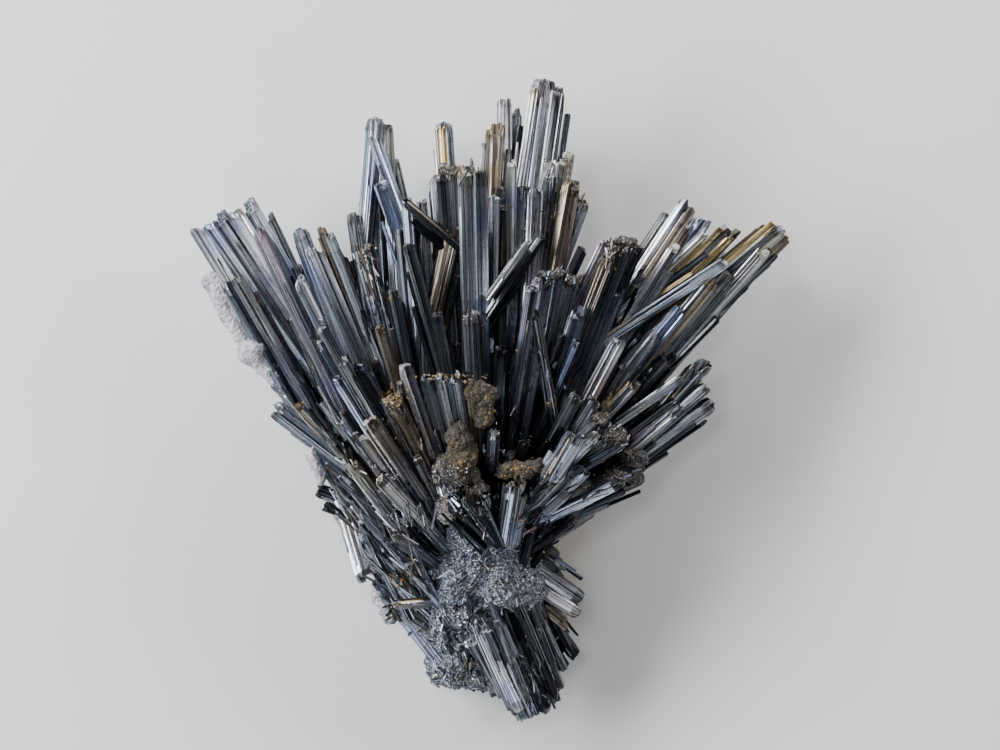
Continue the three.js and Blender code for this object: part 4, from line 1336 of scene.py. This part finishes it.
class SPECIMEN_OT_root(Operator):
    """Model the massive root, and the crystals and slivers that stand on it"""
    bl_idname = "specimen.root"
    bl_label = "Root"

    def execute(self, context):
        make = context.scene.specimen_root
        mass = lump_piece("root_mass", ROOT_LUMPS, make.grain, ROOT_SWELLS)
        level_base(mass)
        matrix = lump_piece("matrix", MATRIX_LUMPS, FINE_CELL, MATRIX_SWELLS)
        knobs = lump_piece("knobs", KNOBS, FINE_CELL, KNOB_SWELLS)
        for piece, finish in ((mass, "massive_look"), (matrix, "matrix_look"), (knobs, "knob_look")):
            ready(piece, finish, "stibnite_cluster", slot="stibnite")
        rng = random.Random(21)
        blanks = stored_blanks()
        things = []
        for row in ROOT_CRYSTALS + ROOT_PLATES:
            things += bundle(row, ROOT_PALETTE, blanks, context.scene.specimen_crystals, rng)
        things += root_grains(mass, make.slivers, blanks, rng)
        piece = joined(things, "root_crystals")
        rest_flat(piece)
        ready(piece, "crystal_look", "stibnite_cluster", slot="stibnite")
        return {"FINISHED"}


class SPECIMEN_OT_crusts(Operator):
    """Model the pale crusts along the left edge"""
    bl_idname = "specimen.crusts"
    bl_label = "Pale crusts"

    def execute(self, context):
        for name, lumps in CRUSTS.items():
            piece = lump_piece(f"{name}_skin", strung(lumps), CRUST_CELL, CRUST_SWELLS)
            ready(piece, "crust_look", name, slot="pale_crust")
        return {"FINISHED"}


class SPECIMEN_OT_clots(Operator):
    """Model the earthy ochre clots between the front crystals"""
    bl_idname = "specimen.clots"
    bl_label = "Ochre clots"

    def execute(self, context):
        for name, lumps in CLOTS.items():
            piece = lump_piece(f"{name}_earth", lumps, CLOT_CELL, CLOT_SWELLS)
            ready(piece, "ochre_look", name, slot="ochre")
        return {"FINISHED"}


class SPECIMEN_OT_splinter(Operator):
    """Model the loose splinter lodged across the left of the root"""
    bl_idname = "specimen.splinter"
    bl_label = "Lodged splinter"

    def execute(self, context):
        rng = random.Random(31)
        place, length = crystal_frame(LODGED_SPLINTER)
        blanks = stored_blanks()
        things = []
        for side, lift, share, wide, tone in SPLINTER_BLADES:
            where = tilted(place, (side, lift), (0, 0), rng.uniform(-20, 20))
            tint = varied(tone, (tone,), rng, 0.1)
            things.append(blade(rng.choice(blanks.bodies), where, wide, wide, length * share, tint, rng))
        piece = joined(things, "loose_splinter")
        ready(piece, "crystal_look", "lodged_splinter", slot="stibnite")
        return {"FINISHED"}


class SPECIMEN_OT_crumbs(Operator):
    """Strew crumbs of ochre, pale crust and broken stibnite over the crystals"""
    bl_idname = "specimen.crumbs"
    bl_label = "Crumbs"

    def execute(self, context):
        blanks = stored_blanks()
        rng = random.Random(51)
        strewn = (
            ("ochre_crumbs", OCHRE_CRUMBS, ("gold", "tan", "brown"), 0.0, "ochre_crumb_look", "ochre"),
            ("crust_crumbs", CRUST_CRUMBS, ("silver",), 0.0, "crust_look", "pale_crust"),
            ("rubble", RUBBLE, ("grey", "steel", "dark", "brown", "brown"), 0.4, "crystal_look", "stibnite"),
        )
        for name, spots, tones, shards, finish, slot in strewn:
            ready(crumbs(name, spots, tones, blanks, rng, shards), finish, slot=slot)
        tones = ("steel", "sky", "grey", "silver", "dark", "tan")
        needles = crumbs(
            "crossing_needles", NEEDLES, tones, blanks, random.Random(52), 1.0,
            reach=(3.0, 10.0), middle=LOW_HEART, stray=0.13)
        ready(needles, "crystal_look", slot="stibnite")
        return {"FINISHED"}


# The point that the camera looks straight down on, the point that the lights face, and the faint
# light from all round.
VIEWED = (0.0017, 0.0058, 0.027)
LIT = Vector((0, 0.005, 0.03))
SKY_COLOUR = (0.55, 0.62, 0.75, 1.0)
SKY_STRENGTH = 0.03
SENSOR_WIDTH = 36.0

# Studio lights: name, place, size, share of the key light's power, colour.
LIGHTS = (
    ("key", (-0.64, 0.14, 0.52), (0.84, 0.26), 1.0, (0.96, 0.98, 1.0)),
    ("right", (0.62, 0.32, 0.52), (0.24, 0.24), 0.24, (1.0, 0.92, 0.84)),
    ("front", (-0.15, -0.76, 0.46), (0.34, 0.16), 0.14, (0.82, 0.89, 1.0)),
    ("overhead", (-0.14, 0.12, 1.15), (0.18, 0.18), 0.16, (0.96, 0.98, 1.0)),
    ("side", (-0.40, 0.42, 0.56), (0.22, 0.22), 0.16, (1.0, 0.97, 0.93)),
    ("back", (0.10, 0.80, 0.30), (0.80, 0.24), 0.55, (0.90, 0.94, 1.0)),
)


class SPECIMEN_OT_stage(Operator):
    """Set the floor, the studio lights and the camera"""
    bl_idname = "specimen.stage"
    bl_label = "Stage"

    def execute(self, context):
        stage = context.scene.specimen_stage
        deselect()
        bpy.ops.mesh.primitive_plane_add(size=6.0, location=(0, 0, 0))
        floor = context.object
        floor.name = "floor"
        paint = bpy.data.materials.new("floor_paint")
        paint.use_nodes = True
        shader = paint.node_tree.nodes["Principled BSDF"]
        shader.inputs["Base Color"].default_value = (*stage.floor, 1.0)
        shader.inputs["Roughness"].default_value = 0.9
        floor.data.materials.append(paint)

        world = bpy.data.worlds.new("studio")
        context.scene.world = world
        world.use_nodes = True
        sky = world.node_tree.nodes["Background"]
        sky.inputs["Color"].default_value = SKY_COLOUR
        sky.inputs["Strength"].default_value = SKY_STRENGTH

        for name, spot, size, share, colour in LIGHTS:
            bpy.ops.object.light_add(type="AREA", location=spot)
            lamp = context.object
            lamp.name = f"{name}_light"
            lamp.data.shape = "RECTANGLE"
            lamp.data.size, lamp.data.size_y = size
            lamp.data.energy = stage.key * share
            lamp.data.color = colour
            lamp.rotation_euler = (LIT - Vector(spot)).to_track_quat("-Z", "Y").to_euler()

        height = VIEWED[2] + stage.view_width * stage.lens / SENSOR_WIDTH
        bpy.ops.object.camera_add(location=(*VIEWED[:2], height), rotation=(0, 0, 0))
        camera = context.object
        camera.data.lens = stage.lens
        camera.data.sensor_width = SENSOR_WIDTH
        camera.data.clip_end = 10.0
        context.scene.camera = camera
        return {"FINISHED"}


class SPECIMEN_PT_panel(Panel):
    """The steps that model the specimen, in order"""
    bl_label = "Stibnite specimen"
    bl_idname = "SPECIMEN_PT_panel"
    bl_space_type = "VIEW_3D"
    bl_region_type = "UI"
    bl_category = "Specimen"

    def draw(self, context):
        for settings in SETTINGS:
            group = getattr(context.scene, settings)
            box = self.layout.box()
            for name in group.__annotations__:
                box.prop(group, name)
        for step in STEPS:
            self.layout.operator(step.bl_idname)


SETTINGS = {
    "specimen_crystals": CrystalSettings,
    "specimen_root": RootSettings,
    "specimen_stage": StageSettings,
}
STEPS = (
    SPECIMEN_OT_finishes, SPECIMEN_OT_blanks, SPECIMEN_OT_sprays, SPECIMEN_OT_root,
    SPECIMEN_OT_crusts, SPECIMEN_OT_clots, SPECIMEN_OT_splinter, SPECIMEN_OT_crumbs,
    SPECIMEN_OT_stage,
)
CLASSES = (*SETTINGS.values(), *STEPS, SPECIMEN_PT_panel)


def register():
    for kind in CLASSES:
        bpy.utils.register_class(kind)
    for name, kind in SETTINGS.items():
        setattr(bpy.types.Scene, name, PointerProperty(type=kind))


def unregister():
    for name in SETTINGS:
        delattr(bpy.types.Scene, name)
    for kind in reversed(CLASSES):
        bpy.utils.unregister_class(kind)


def main():
    register()
    bpy.ops.specimen.finishes()
    bpy.ops.specimen.blanks()
    bpy.ops.specimen.sprays()
    bpy.ops.specimen.root()
    bpy.ops.specimen.crusts()
    bpy.ops.specimen.clots()
    bpy.ops.specimen.splinter()
    bpy.ops.specimen.crumbs()
    bpy.ops.specimen.stage()


if __name__ == "__main__":
    main()
